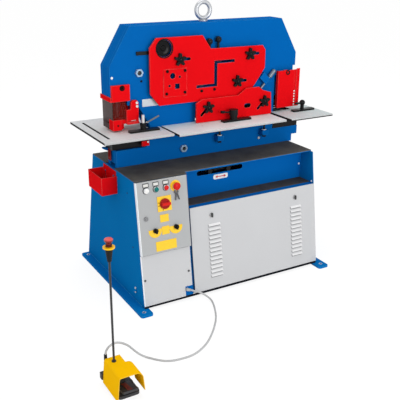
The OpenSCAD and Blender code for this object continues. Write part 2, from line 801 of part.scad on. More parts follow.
module lower_guard() color(red) difference() {
  step = lower_travel / sqrt(2);
  union() {
    slab(lower_face, lower_face + guard_t) translate([0, cab_h]) polygon(lower_outline);
    slab(lower_face, lower_face + flange) translate([0, cab_h]) edge_band(lower_outline, 0, 1, guard_t);
  }
  for (at = lower_knobs) slab(lower_face - 1, face)
    slot2d([at.x + 6, up(at.y + 6)], [at.x - step - 8, up(at.y - step - 8)], slot_w);
  slab(lower_face - 1, face) slot2d([228, up(268)], [248, up(268)], 26);
}

// Five-armed knob with its screw; its axis is Y and its face seats on the guard
module star_knob(at, seat) color(black) translate([at.x, seat - run, up(at.y)]) rotate([90, 0, 0]) {
  arm_r = 8;
  reach = knob_d / 2 - arm_r;
  cylinder(d = knob_d * 0.5, h = 20);
  for (i = [0:4]) rotate(90 + i * 72) {
    translate([0, -arm_r, 3]) cube([reach, 2 * arm_r, 13]);
    translate([reach, 0, 3]) cylinder(r = arm_r, h = 13);
  }
  translate([0, 0, seat - face - 12]) cylinder(d = stud_d, h = face - seat + 13);
}

module knob_upper_left() star_knob(upper_knobs[0], upper_face);
module knob_upper_right() star_knob(upper_knobs[1], upper_face);
module knob_upper_low() star_knob(upper_knobs[2], upper_face);
module knob_lower_left() star_knob(lower_knobs[0], lower_face);
module knob_lower_right() star_knob(lower_knobs[1], lower_face);

// Mechanism between the plates

module beam() color(blue) difference() {
  slab(beam_front, beam_back) difference() {
    translate([0, cab_h]) polygon(beam_outline);
    translate([pivot_x, up(pivot_h)]) circle(d = pivot_d + 2 * fit);
    angle_slot(6);
    bar_holes(-2);
    // Fork of the ram's pin, open to the left
    slot2d([ram_x - 60, up(ram_pin_h)], [ram_x + 12, up(ram_pin_h)], ram_pin_d + 2 * open_pivot);
    translate([rod_x, up(lug_h)]) circle(d = rod_pin_d + 2 * open_pivot);
  }
  // Slots between the cheeks for the ram's and the rod's tongues
  low_y = tongue_front - tongue_gap;
  high_y = tongue_back + tongue_gap;
  span([-600, low_y, up(400)], [ram_x + 43, high_y, up(ram_pin_h) + 36]);
  span([rod_x - 40, low_y, up(200)], [rod_x + 40, high_y, up(lug_h) + 42]);
}

// Flat-shear, angle-shear and notching blades bolted to the beam
module moving_blades() color(steel) {
  blade_front = gap_front + 0.5;
  slab(blade_front, beam_front) translate([0, cab_h])
    polygon([[-70, table_h + 12], [385, table_h + 49], [385, 272], [-70, 290]]);
  slab(blade_front, beam_front) difference() {
    translate([-100, up(384)]) square([265, 160]);
    angle_slot(3);
  }
  span([490, beam_front, up(262)], [556, beam_back, up(290)]);
}

// Ram with its pin, coupling nut and punch
module punch_ram() color(black) {
  tongue_top = up(ram_pin_h) + 20;
  shaft_top = up(ram_pin_h) - 40;
  shaft_bottom = up(330);
  punch_bottom = up(table_h) + 18;
  span([ram_x - 18, tongue_front, shaft_top], [ram_x + 18, tongue_back, tongue_top]);
  pin([ram_x, up(ram_pin_h)], ram_pin_d / 2, beam_front + 1, beam_back - 1);
  translate([ram_x, frame_y, shaft_bottom]) cylinder(d = ram_d, h = shaft_top - shaft_bottom);
  translate([ram_x, frame_y, shaft_bottom - 30]) cylinder(d = ram_d - 8, h = 30);
  translate([ram_x, frame_y, shaft_bottom - 60]) cylinder(d = punch_d + 10, h = 30);
  translate([ram_x, frame_y, punch_bottom]) cylinder(d = punch_d, h = shaft_bottom - 60 - punch_bottom);
}

piston_z = clevis_z + 225;
barrel_top = clevis_z + 410;

module cylinder_barrel() color(black) translate([rod_x, frame_y, 0]) difference() {
  union() {
    translate([0, 0, clevis_z + 50]) cylinder(d = barrel_d, h = barrel_top - clevis_z - 50);
    translate([0, 18, clevis_z]) rotate([90, 0, 0]) cylinder(r = 34, h = 36);
    span([-34, -18, clevis_z], [34, 18, clevis_z + 51]);
  }
  translate([0, 20, clevis_z]) rotate([90, 0, 0]) cylinder(r = 15 + fit, h = 40);
  translate([0, 0, clevis_z + 70]) cylinder(d = bore_d, h = barrel_top - clevis_z - 95);
  translate([0, 0, barrel_top - 30]) cylinder(d = rod_d + 2 * fit, h = 40);
}

module cylinder_rod() color(steel) translate([rod_x, frame_y, 0]) {
  neck = up(lug_h) - 60;
  translate([0, 0, piston_z]) cylinder(d = bore_d - 2 * fit, h = 40);
  translate([0, 0, piston_z]) cylinder(d = rod_d, h = neck - piston_z);
  span([-24, tongue_front - frame_y, neck - 1], [24, tongue_back - frame_y, up(lug_h)]);
  translate([0, tongue_back - frame_y, up(lug_h)]) rotate([90, 0, 0])
    cylinder(r = 24, h = tongue_back - tongue_front);
  translate([0, beam_t / 2 - 1, up(lug_h)]) rotate([90, 0, 0]) cylinder(d = rod_pin_d, h = beam_t - 2);
}

// Oil tank with the motor and pump on its lid
module power_unit() color(grey) {
  span([-240, -120, floor_in], [160, 200, floor_in + 280]);
  span([-160, -20, floor_in + 280], [0, 100, floor_in + 300]);
  translate([-200, 40, floor_in + 380]) rotate([0, 90, 0]) cylinder(d = 165, h = 250);
  translate([50, 40, floor_in + 380]) rotate([0, 90, 0]) cylinder(d = 110, h = 60);
  span([110, -10, floor_in + 330], [190, 90, floor_in + 430]);
}

// Sliding collars of the stroke setting behind the recess slot
module stroke_stop() color(black) {
  wall = -recess_back + panel_t;
  translate([stroke_left + 65, wall + 20, stroke_z]) rotate([0, 90, 0]) cylinder(d = 12, h = 170);
  for (x = [stroke_left + 80, stroke_left + 120, stroke_left + 200])
    translate([x, wall + 20, stroke_z]) rotate([0, 90, 0]) cylinder(d = 22, h = 16);
  for (x = [stroke_left + 88, stroke_left + 208]) translate([x, wall + 10, stroke_z]) rotate([90, 0, 0])
    cylinder(d = stroke_h - 2 * run, h = panel_t + 9);
}

// Control door and its devices

module control_door() color(grey) on_front() difference() {
  span([door_left, -door_face, slope_v(door_bottom)], [door_right, -door_gap, slope_v(door_top)]);
  span([door_left + panel_t, -door_face + panel_t, slope_v(door_bottom) + panel_t],
    [door_right - panel_t, 0, slope_v(door_top) - panel_t]);
}

// Places a device on the door's face with its axis along +Z
module on_door(x, z) {
  on_front() translate([x, -door_face, slope_v(z)]) rotate([90, 0, 0]) children();
}

module bezel_ring(inner, wall, h) difference() {
  cylinder(d = inner + 2 * wall, h = h);
  translate([0, 0, -1]) cylinder(d = inner, h = h + 2);
}

module door_fittings() color(yellow) {
  for (x = button_xs) {
    on_door(x, button_z) bezel_ring(button_d + 2 * run, bezel, 8);
    on_door(x, button_z + 27) translate([-17, -11, 0]) cube([34, 22, 2]);
  }
  on_door(button_xs[0], button_z) cylinder(d = button_d + 2 * run, h = 11);
  on_door(stop_x, button_z) difference() {
    union() {
      cylinder(d = mushroom_d + 20, h = 3);
      cylinder(d = mushroom_d * 0.7, h = 12);
    }
    translate([0, 0, 3]) cylinder(d = mushroom_d * 0.5 + 2 * run, h = 10);
  }
  on_door(switch_at.x, switch_at.y) translate([-switch_w / 2, -switch_w / 2, 0])
    cube([switch_w, switch_w, 4]);
  for (x = selector_xs) on_door(x, selector_z) intersection() {
    cylinder(d = selector_d + 50, h = 2);
    translate([-50, -60, 0]) cube([100, 66, 2]);
  }
  on_door((selector_xs[0] + selector_xs[1]) / 2, selector_z - 8) translate([-22, -22, 0]) cube([44, 44, 2]);
  on_door(switch_at.x - 6, switch_at.y - 77) translate([-25, -20, 0]) cube([50, 40, 2]);
  on_door(switch_at.x - 6, door_bottom + 36) translate([-60, -26, 0]) cube([120, 52, 2]);
}

module push_button(x) on_door(x, button_z) translate([0, 0, 4]) cylinder(d = button_d, h = 8);

module green_button() color([0, 0.55, 0.45]) push_button(button_xs[1]);
module red_button() color(red) push_button(button_xs[2]);

module door_stop_button() color(red) on_door(stop_x, button_z) {
  translate([0, 0, 7]) cylinder(d = mushroom_d * 0.5, h = 11);
  translate([0, 0, 16]) cylinder(d = mushroom_d, h = 7);
  translate([0, 0, 23]) cylinder(d1 = mushroom_d, d2 = mushroom_d * 0.7, h = 6);
}

module main_switch() color(red) on_door(switch_at.x, switch_at.y) {
  translate([0, 0, 4 + run]) cylinder(d = switch_w * 0.7, h = 10);
  translate([-switch_w * 0.28, -7, 14]) cube([switch_w * 0.6, 14, 14]);
}

module selector(x) color(black) on_door(x, selector_z) translate([0, 0, 2 + run]) {
  cylinder(d = selector_d, h = 12);
  translate([-4, -selector_d / 2, 12]) cube([8, selector_d, 9]);
}

module left_selector() selector(selector_xs[0]);
module right_selector() selector(selector_xs[1]);

module door_lock() color(steel) on_door(lock_at.x, lock_at.y) translate([0, 0, run]) {
  cylinder(d = latch_d, h = 5);
  translate([-3, -latch_d / 2 + 2, 5]) cube([6, latch_d - 4, 3]);
}

module panel_latch(x) color(steel)
  on_front() translate([x, -panel_t - run, slope_v(latch_z)]) rotate([90, 0, 0]) {
    cylinder(d = latch_d, h = 5);
    translate([-4, -latch_d / 2, 5]) cube([8, latch_d, 8]);
    translate([0, 0, -panel_t - 2]) cylinder(d = 12 - 2 * run, h = panel_t + 2);
  }

module left_latch() panel_latch(latch_xs[0]);
module right_latch() panel_latch(latch_xs[1]);

// Slug bin on the left side
bin_y0 = frame_y - bin_l / 2 + 3;
bin_z0 = cab_h - 130;
peg_z = bin_z0 + bin_h - 8;
bin_lift = 60;

module slug_bin() color(red) difference() {
  x1 = -half_w - run;
  union() {
    difference() {
      span([x1 - bin_w, bin_y0, bin_z0], [x1, bin_y0 + bin_l, bin_z0 + bin_h]);
      span([x1 - bin_w + bin_t, bin_y0 + bin_t, bin_z0 + bin_t],
        [x1 - bin_t, bin_y0 + bin_l - bin_t, bin_z0 + bin_h + 1]);
    }
    span([x1 - bin_t, bin_y0 + 10, bin_z0 + bin_h], [x1, bin_y0 + bin_l - 10, bin_z0 + bin_h + 24]);
  }
  for (y = [bin_y0 + 40, bin_y0 + bin_l - 40]) side_slab(x1 - bin_t - 1, x1 + 1)
    slot2d([y, peg_z], [y, peg_z - bin_lift], 8 + 2 * run);
}

// Foot switch

module foot_base() color(black) {
  base_l = cover_back - cover_front - 31;
  translate([cover_left + 8, cover_front + 29, 0]) linear_extrude(14) round_rect([100, base_l], 14);
  span([cover_left + 12, cover_step + 4, 13], [cover_left + 72, cover_back - 2, cover_h - cover_t]);
  span([cover_left - 14, cover_back, lug_top - 30], [cover_left + 24, cover_back + 22, lug_top]);
  span([cover_left + 8, cover_back - 3, lug_top - 26], [cover_left + 24, cover_back + 1, lug_top]);
  // Ears of the pedal
  for (x = [cover_left + 10, cover_left + 92]) difference() {
    span([x, pedal_axis.x - 9, 13], [x + 8, pedal_axis.x + 9, pedal_axis.y + 9]);
    translate([x - 1, pedal_axis.x, pedal_axis.y]) rotate([0, 90, 0]) cylinder(d = 8 + 2 * fit, h = 10);
  }
}

// Bent sheet cover, open at the front
module foot_cover() color(yellow) {
  flare = 10;
  left_r = 10;
  right_r = 34;
  left_centre = [cover_left + left_r, cover_h - left_r];
  right_centre = [cover_right - right_r, cover_h - right_r];
  right_foot = [cover_right + 6, 34];
  profile = concat([[cover_left - flare, 14]], arc_points(left_centre, left_r, 180, -90),
    arc_points(right_centre, right_r, 90, -90), [right_foot, right_foot - [cover_t, 0]],
    arc_points(right_centre, right_r - cover_t, 0, 90), arc_points(left_centre, left_r - cover_t, 90, 90),
    [[cover_left - flare + cover_t, 14]]);
  slab(cover_front, cover_step) polygon(profile);
  slab(cover_step, cover_back) intersection() {
    polygon(profile);
    translate([cover_left - 40, 0]) square([114, cover_h + 10]);
  }
}

// Pole with its boot and the yellow disc of the stop button
disc_z = pole_top - 41;
boot_h = 60;

module foot_pole() color(black) translate([pole_x, pole_y, 0]) {
  translate([0, 0, cover_h]) cylinder(d = pole_d + 10, h = 4);
  translate([0, 0, cover_h]) cylinder(d = pole_d, h = disc_z - boot_h - cover_h + 5);
  translate([0, 0, disc_z - boot_h]) cylinder(d1 = pole_d + 8, d2 = 34, h = boot_h);
  difference() {
    union() {
      translate([0, 0, disc_z]) cylinder(d = mushroom_d + 10, h = 6);
      translate([0, 0, disc_z + 6]) cylinder(d = mushroom_d * 0.7, h = 10);
    }
    translate([0, 0, disc_z + 5]) cylinder(d = mushroom_d * 0.5 + 2 * run, h = 20);
  }
}

module foot_button() color(red) translate([pole_x, pole_y, disc_z]) {
  cap_d = mushroom_d * 0.9;
  translate([0, 0, 10]) cylinder(d = mushroom_d * 0.5, h = 14);
  translate([0, 0, 23]) cylinder(d1 = mushroom_d * 0.6, d2 = cap_d, h = 8);
  translate([0, 0, 31]) cylinder(d = cap_d, h = 7);
  translate([0, 0, 38]) cylinder(d1 = cap_d, d2 = cap_d * 0.86, h = 3);
}

// Treadle on its cross pin, raised at the front
module foot_pedal() color(black) {
  x0 = cover_left + 20;
  side_slab(x0, x0 + 70) polygon([[pedal_axis.x - 6, pedal_axis.y - 7], [pedal_axis.x + 6, pedal_axis.y - 5],
    [pedal_axis.x + 6, pedal_axis.y + 6], [pedal_axis.x - 90, pedal_axis.y + 30],
    [pedal_axis.x - 92, pedal_axis.y + 20]]);
  translate([x0 - 9.5, pedal_axis.x, pedal_axis.y]) rotate([0, 90, 0]) cylinder(d = 8, h = 89);
}

// Cord glands: one on the foot switch's rear lug, an elbow one on the plate in the cabinet's corner
module cord_glands() color(black) {
  foot_end = cord_route[0];
  cab_end = cord_route[len(cord_route) - 1];
  elbow_turn = atan2(-0.6, 0.8);
  gland_d = 18;
  translate([foot_end.x, foot_end.y, lug_top]) {
    cylinder(d = gland_d, h = 50);
    translate([0, 0, 50]) cylinder(d1 = 16, d2 = cord_d + 4, h = foot_end.z - lug_top - 50);
  }
  translate(cab_end) rotate([0, 0, elbow_turn]) rotate([0, -90, 0])
    cylinder(d1 = cord_d + 4, d2 = 16, h = 18);
  on_front() translate([cab_end.x - 14.4, 0, slope_v(cab_end.z)]) rotate([90, 0, 0]) {
    cylinder(d = gland_d, h = gland_d / 2 + run);
    translate([0, 0, gland_d / 2 + run]) sphere(d = gland_d);
  }
}

// Sweeps a tube of straight rings along a smooth curve through the route
cord_steps = 3;
cord_sides = 8;
function curve_point(a, b, c, d, t) = 0.5 * (2 * b + (c - a) * t + (2 * a - 5 * b + 4 * c - d) * t * t
  + (3 * b - a - 3 * c + d) * t * t * t);
function route_point(route, i, t) = curve_point(route[max(i - 1, 0)], route[i], route[i + 1],
  route[min(i + 2, len(route) - 1)], t);
function smooth_route(route) = concat([for (i = [0:len(route) - 2], s = [0:cord_steps - 1])
  route_point(route, i, s / cord_steps)], [route[len(route) - 1]]);
function ring(points, i, r) = let (
    ahead = points[min(i + 1, len(points) - 1)] - points[max(i - 1, 0)],
    dir = ahead / norm(ahead),
    side = cross(dir, [0, 0, 1]) / norm(cross(dir, [0, 0, 1])),
    lift = cross(side, dir))
  [for (k = [0:cord_sides - 1]) let (turn = k * 360 / cord_sides)
    points[i] + r * (cos(turn) * side + sin(turn) * lift)];

module tube_along(points, r) {
  n = len(points);
  s = cord_sides;
  verts = [for (i = [0:n - 1]) each ring(points, i, r)];
  walls = [for (i = [0:n - 2], k = [0:s - 1]) each [[i * s + k, i * s + (k + 1) % s, (i + 1) * s + k],
    [(i + 1) * s + k, i * s + (k + 1) % s, (i + 1) * s + (k + 1) % s]]];
  start_cap = [for (k = [1:s - 2]) [0, k + 1, k]];
  end_cap = [for (k = [1:s - 2]) [(n - 1) * s, (n - 1) * s + k, (n - 1) * s + k + 1]];
  polyhedron(verts, concat(walls, start_cap, end_cap));
}

module foot_cord() color(grey) tube_along(smooth_route(cord_route), cord_d / 2);

base_frame();
side_panels();
rear_panel();
top_plate();
recess_sheet();
control_gear();
lower_panel();
louvre_panel();
rubber_mats();
front_plate();
rear_plate();
frame_cap();
frame_pins();
lifting_eye();
fixed_tooling();
punch_brackets();
punch_guard();
left_table();
middle_table();
right_table();
frame_brackets();
black_fittings();
notcher_guard();
power_unit();
foot_base();
foot_cover();
foot_pole();
cord_glands();
foot_cord();
beam();
moving_blades();
punch_ram();
cylinder_barrel();
cylinder_rod();
control_door();
door_fittings();
green_button();
red_button();
door_stop_button();
main_switch();
left_selector();
right_selector();
door_lock();
upper_guard();
lower_guard();
knob_upper_left();
knob_upper_right();
knob_upper_low();
knob_lower_left();
knob_lower_right();
left_stop();
middle_stop();
right_stop();
hold_down_spindle();
slug_bin();
stroke_stop();
foot_pedal();
foot_button();
left_latch();
right_latch();
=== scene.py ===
import json
import math

import bpy
import numpy as np
from mathutils import Matrix, Vector


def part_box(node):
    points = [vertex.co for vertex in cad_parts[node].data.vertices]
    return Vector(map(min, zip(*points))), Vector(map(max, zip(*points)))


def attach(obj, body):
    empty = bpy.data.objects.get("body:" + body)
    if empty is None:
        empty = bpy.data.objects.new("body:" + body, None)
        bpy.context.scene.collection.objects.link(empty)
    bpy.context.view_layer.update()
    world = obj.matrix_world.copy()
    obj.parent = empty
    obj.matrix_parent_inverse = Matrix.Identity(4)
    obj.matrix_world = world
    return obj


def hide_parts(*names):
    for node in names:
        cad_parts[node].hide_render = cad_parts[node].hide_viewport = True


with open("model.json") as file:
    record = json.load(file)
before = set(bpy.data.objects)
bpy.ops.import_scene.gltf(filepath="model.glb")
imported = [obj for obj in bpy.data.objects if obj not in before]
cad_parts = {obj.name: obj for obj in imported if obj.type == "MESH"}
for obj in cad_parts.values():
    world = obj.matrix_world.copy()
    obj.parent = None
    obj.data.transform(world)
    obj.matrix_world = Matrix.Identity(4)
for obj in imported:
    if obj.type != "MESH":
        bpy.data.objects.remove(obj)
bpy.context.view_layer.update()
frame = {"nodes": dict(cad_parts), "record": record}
nodes = frame["nodes"]
scene = bpy.context.scene
print("stage: frame loaded")


# Camera, fitted to the corners of the cabinet, frame and rails
view = {
    "azimuth": -30.10, "elevation": 20.79, "roll": 0.46, "place": (-1.8777, -3.1956, 1.8075),
    "focal": 665.11, "side": 400, "sensor": 36,
}


def addCamera():
    azimuth, elevation, roll = (math.radians(view[key]) for key in ("azimuth", "elevation", "roll"))
    away = math.cos(elevation)
    back = Vector((math.sin(azimuth) * away, -math.cos(azimuth) * away, math.sin(elevation)))
    level = Vector((math.cos(azimuth), math.sin(azimuth), 0))
    upright = back.cross(level)
    right = math.cos(roll) * level + math.sin(roll) * upright
    above = math.cos(roll) * upright - math.sin(roll) * level
    stand = Matrix((right, above, back)).transposed().to_4x4()
    stand.translation = Vector(view["place"])
    lens = bpy.data.cameras.new("photoCamera")
    lens.sensor_width = view["sensor"]
    lens.lens = view["focal"] / view["side"] * view["sensor"]
    lens.dof.use_dof = False
    holder = bpy.data.objects.new("photoCamera", lens)
    holder.matrix_world = stand
    scene.collection.objects.link(holder)
    scene.camera = holder


addCamera()
print("stage: camera")


def linear(red, green, blue):
    # Screen colour, 0 to 255, as linear light: ((c + 0.055) / 1.055) ^ 2.4 above the dark end
    def one(value):
        share = value / 255
        return share / 12.92 if share <= 0.04045 else ((share + 0.055) / 1.055) ** 2.4

    return (one(red), one(green), one(blue), 1.0)


# The pale edge tones are partly edge wear and partly a painted highlight
tone = {
    "blue": linear(3, 98, 176),
    "deepBlue": linear(2, 80, 152),
    "wearAndHighlightBlue": linear(58, 148, 208),
    "red": linear(228, 14, 22),
    "deepRed": linear(172, 10, 16),
    "wearAndHighlightRed": linear(246, 116, 110),
    "panelGrey": linear(200, 201, 203),
    "doorGrey": linear(176, 178, 179),
    "greyShade": linear(178, 178, 180),
    "wearAndHighlightGrey": linear(240, 241, 242),
    "yellow": linear(254, 196, 8),
    "deepYellow": linear(226, 152, 4),
    "labelYellow": linear(252, 208, 24),
    "wearAndHighlightYellow": linear(255, 222, 120),
    "steel": linear(206, 206, 204),
    "zinc": linear(188, 190, 193),
    "black": linear(15, 15, 16),
    "soot": linear(7, 7, 8),
    "edgeTone": linear(92, 92, 94),
    "mat": linear(74, 69, 62),
    "cord": linear(194, 195, 196),
    "white": linear(238, 238, 236),
    "green": linear(8, 116, 112),
    "smoke": linear(64, 36, 31),
}


# The sloping front: where its panel plane starts and ends in Y and Z, and its outward normal
frontSlope = {"bottom": -0.377, "top": -0.279, "low": 0.012, "high": 0.695}
slopeRun = (frontSlope["top"] - frontSlope["bottom"]) / (frontSlope["high"] - frontSlope["low"])
slopeAngle = math.atan(slopeRun)
frontNormal = (0, -math.cos(slopeAngle), math.sin(slopeAngle))

# Faces of the panels and the door, out from the panel plane, and places that paints and pieces share
panelFace = 0.003
doorFace = 0.0185
deviceRow = 0.644
deviceX = {"lamp": -0.521, "green": -0.464, "red": -0.407, "stop": -0.352}
pivotSpot = (-0.282, 1.315)


def operator(operation, swapped=False):
    # A plain sign between two values, as a Math node
    def method(self, other=0.0):
        first, second = (other, self) if swapped else (self, other)
        return self.owner.math(operation, first, second)

    return method


class Value:
    # A shader socket that can be used in plain sums
    def __init__(self, owner, socket):
        self.owner = owner
        self.socket = socket

    __add__ = operator("ADD")
    __radd__ = operator("ADD", swapped=True)
    __sub__ = operator("SUBTRACT")
    __rsub__ = operator("SUBTRACT", swapped=True)
    __mul__ = operator("MULTIPLY")
    __rmul__ = operator("MULTIPLY", swapped=True)
    __pow__ = operator("POWER")
    __abs__ = operator("ABSOLUTE")
    __gt__ = operator("GREATER_THAN")
    __lt__ = operator("LESS_THAN")


class Nodes:
    # A node tree, with short calls for its nodes and sums
    def __init__(self, tree):
        self.tree = tree

    def fill(self, node, inputs):
        for key, given in inputs.items():
            if isinstance(given, Value):
                self.tree.links.new(given.socket, node.inputs[key])
            else:
                node.inputs[key].default_value = given

    def node(self, kind, inputs=None, settings=None, output=0):
        made = self.tree.nodes.new(kind)
        for key, setting in (settings or {}).items():
            setattr(made, key, setting)
        self.fill(made, inputs or {})
        return Value(self, made.outputs[output])

    def math(self, operation, first, second=0.0):
        return self.node("ShaderNodeMath", {0: first, 1: second}, {"operation": operation})

    def seen(self):
        # 1 for rays from the camera, in reflections and through glass, else 0
        kinds = ("Is Camera Ray", "Is Glossy Ray", "Is Transmission Ray")
        camera, mirrored, through = (self.node("ShaderNodeLightPath", output=kind) for kind in kinds)
        return self.math("MAXIMUM", self.math("MAXIMUM", camera, mirrored), through)


# Rays of the Bevel node, how fast the edge mask grows as its normal leans, and the mean of the noise
edgeLook = {"samples": 6, "gain": 3.4}
noiseMiddle = 0.5


class Paint(Nodes):
    # One material: a Principled shader fed by sums of the piece's own coordinates
    def __init__(self, name):
        self.material = bpy.data.materials.new(name)
        self.material.use_nodes = True
        super().__init__(self.material.node_tree)
        self.shader = self.tree.nodes["Principled BSDF"]
        self.place = self.node("ShaderNodeTexCoord", output="Object")
        parts = [self.node("ShaderNodeSeparateXYZ", {0: self.place}, output=axis) for axis in "XYZ"]
        self.x, self.y, self.z = parts

    def put(self, inputs):
        self.fill(self.shader, inputs)
        return self

    def clamp(self, value):
        return self.node("ShaderNodeClamp", {"Value": value})

    def noise(self, scale, detail=2.0, stretch=(1, 1, 1)):
        where = self.node("ShaderNodeMapping", {"Vector": self.place, "Scale": stretch})
        return self.node("ShaderNodeTexNoise", {"Vector": where, "Scale": scale, "Detail": detail})

    def vary(self, middle, spread=0.2, scale=90, detail=2):
        # A value that wanders about its middle with the noise
        return middle + (self.noise(scale, detail) - noiseMiddle) * spread

    def ribs(self, along, pitch):
        # sin(2 pi along / pitch)
        return self.math("SINE", along * (2 * math.pi / pitch))

    def mix(self, share, first, second):
        made = {0: share, 6: first, 7: second}
        return self.node("ShaderNodeMix", made, {"data_type": "RGBA"}, output=2)

    def mottle(self, shade, other, share, scale, detail=3):
        # Patches of another colour, where the noise is high
        return self.mix(self.noise(scale, detail) * share, shade, other)

    def rim(self, edge, shade, edgeTone, share=0.5):
        # Another colour along the edges
        return self.mix(edge * share, shade, edgeTone)

    def bump(self, height, distance, normal=None):
        inputs = {"Height": height, "Distance": distance}
        if normal is not None:
            inputs["Normal"] = normal
        return self.node("ShaderNodeBump", inputs)

    def faceNormal(self):
        return self.node("ShaderNodeNewGeometry", output="True Normal")

    def edges(self, radius):
        # Rounded normal, and how far it leans from the face: 0 on a flat, about 1 on a square edge
        rounded = self.node("ShaderNodeBevel", {"Radius": radius}, {"samples": edgeLook["samples"]})
        pair = {0: rounded, 1: self.faceNormal()}
        agree = self.node("ShaderNodeVectorMath", pair, {"operation": "DOT_PRODUCT"}, output="Value")
        return rounded, self.clamp((1 - agree) * edgeLook["gain"])

    def radius(self, x, z):
        return ((self.x - x) ** 2 + (self.z - z) ** 2) ** 0.5

    def proud(self):
        # Distance outside the sloping front's panel plane
        rise = (self.z - frontSlope["low"]) * math.sin(slopeAngle)
        return rise - (self.y - frontSlope["bottom"]) * math.cos(slopeAngle)


# Noises are given as scale and detail
enamelLook = {
    "dust": 0.1, "dustFade": 0.5, "dustGrain": (30, 5), "clouds": (5, 4), "cloudFrom": 0.35,
    "rubs": (26, 4), "rubGain": 2.4, "rubFrom": 0.5, "rubDull": 0.1, "peelGrain": (420, 2),
}


def enamel(name, colour, deep, edgeTone, roughness=0.4, peel=0.00006, cloud=0.3, paintedLightMask=None):
    # Sprayed paint: slow clouds of tone, orange peel, dust low down, pale edges of wear and painted
    # highlight
    look = enamelLook
    paint = Paint(name)
    rounded, edge = paint.edges(radius=0.005)
    dust = paint.clamp(look["dust"] - paint.z * look["dustFade"]) * paint.noise(*look["dustGrain"])
    clouds = (paint.noise(*look["clouds"]) - look["cloudFrom"]) * cloud
    shade = paint.mix(paint.clamp(clouds + dust), colour, deep)
    # Painted light and shade: where the mask is 1, the deep colour
    if paintedLightMask:
        shade = paint.mix(paintedLightMask(paint), shade, deep)
    paleEdges = edge * paint.clamp(paint.noise(*look["rubs"]) * look["rubGain"] - look["rubFrom"])
    rough = paint.vary(roughness, spread=0.14, scale=60, detail=3) + paleEdges * look["rubDull"]
    paint.put({"Base Color": paint.mix(paleEdges, shade, edgeTone), "Roughness": rough})
    paint.put({"Normal": paint.bump(paint.noise(*look["peelGrain"]), peel, rounded)})
    return paint.put({"Specular IOR Level": 0.0, "Coat Weight": 0.02, "Coat Roughness": 0.35})


plasticLook = {"rubs": (60, 3), "rubShare": 0.5, "rubGloss": 0.08, "grain": (900, 2), "grainDepth": 0.00004}


def plastic(name, colour, roughness=0.42, deep=None, edgeTone=None, gloss=0.15):
    # Moulded plastic with a fine eroded grain, polished by hands along its edges
    look = plasticLook
    paint = Paint(name)
    rounded, edge = paint.edges(radius=0.0015)
    shade = paint.mottle(colour, deep or tone["soot"], share=0.3, scale=40)
    paleEdges = edge * paint.noise(*look["rubs"]) * look["rubShare"]
    shade = paint.mix(paleEdges, shade, edgeTone or tone["edgeTone"])
    rough = paint.vary(roughness, spread=0.14, scale=120) - edge * look["rubGloss"]
    paint.put({"Base Color": shade, "Roughness": rough, "Specular IOR Level": gloss})
    return paint.put({"Normal": paint.bump(paint.noise(*look["grain"]), look["grainDepth"], rounded)})


groundLook = {
    "scratches": (9, 4), "scratchFrom": 0.45, "scratchGain": 1.2, "scratchDepth": 0.00003,
    "stains": (7, 5), "stainFrom": 0.55, "stainGain": 0.8, "darkShare": 0.66, "sheenSpread": 0.25,
    "edge": linear(236, 236, 236),
}


def ground(name, colour, roughness=0.34, metallic=0.85, stretch=(6, 160, 160)):
    # Ground steel: long scratches along one axis, faint stains and bright edges
    look = groundLook
    paint = Paint(name)
    rounded, edge = paint.edges(radius=0.0012)
    scratch = paint.noise(*look["scratches"], stretch)
    stain = paint.noise(*look["stains"])
    dark = tuple(look["darkShare"] * part for part in colour[:3]) + (1.0,)
    scratched = (scratch - look["scratchFrom"]) * look["scratchGain"]
    stained = (stain - look["stainFrom"]) * look["stainGain"]
    shade = paint.mix(paint.clamp(scratched + stained), colour, dark)
    shade = paint.rim(edge, shade, look["edge"], share=0.6)
    rough = roughness + (scratch - noiseMiddle) * look["sheenSpread"]
    paint.put({"Base Color": shade, "Roughness": rough, "Metallic": metallic})
    return paint.put({"Normal": paint.bump(scratch, look["scratchDepth"], rounded)})


glassLook = {
    "sideWidth": 0.0045, "front": linear(128, 34, 26), "stain": linear(56, 24, 20), "alpha": 0.34,
    "sideAlpha": 0.58,
}


def smokeGlass():
    # The side pane of the punch guard is dense and brown; its thinner front pane is tinted red as painted
    # light
    paint = plastic("smokedGlass", tone["smoke"], roughness=0.1, gloss=0.1)
    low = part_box("punch_guard")[0]
    side = paint.x < low.x + glassLook["sideWidth"]
    shade = paint.mix(side, glassLook["front"], tone["smoke"])
    shade = paint.mottle(shade, glassLook["stain"], share=0.3, scale=40)
    return paint.put({"Base Color": shade, "Alpha": glassLook["alpha"] + side * glassLook["sideAlpha"]})


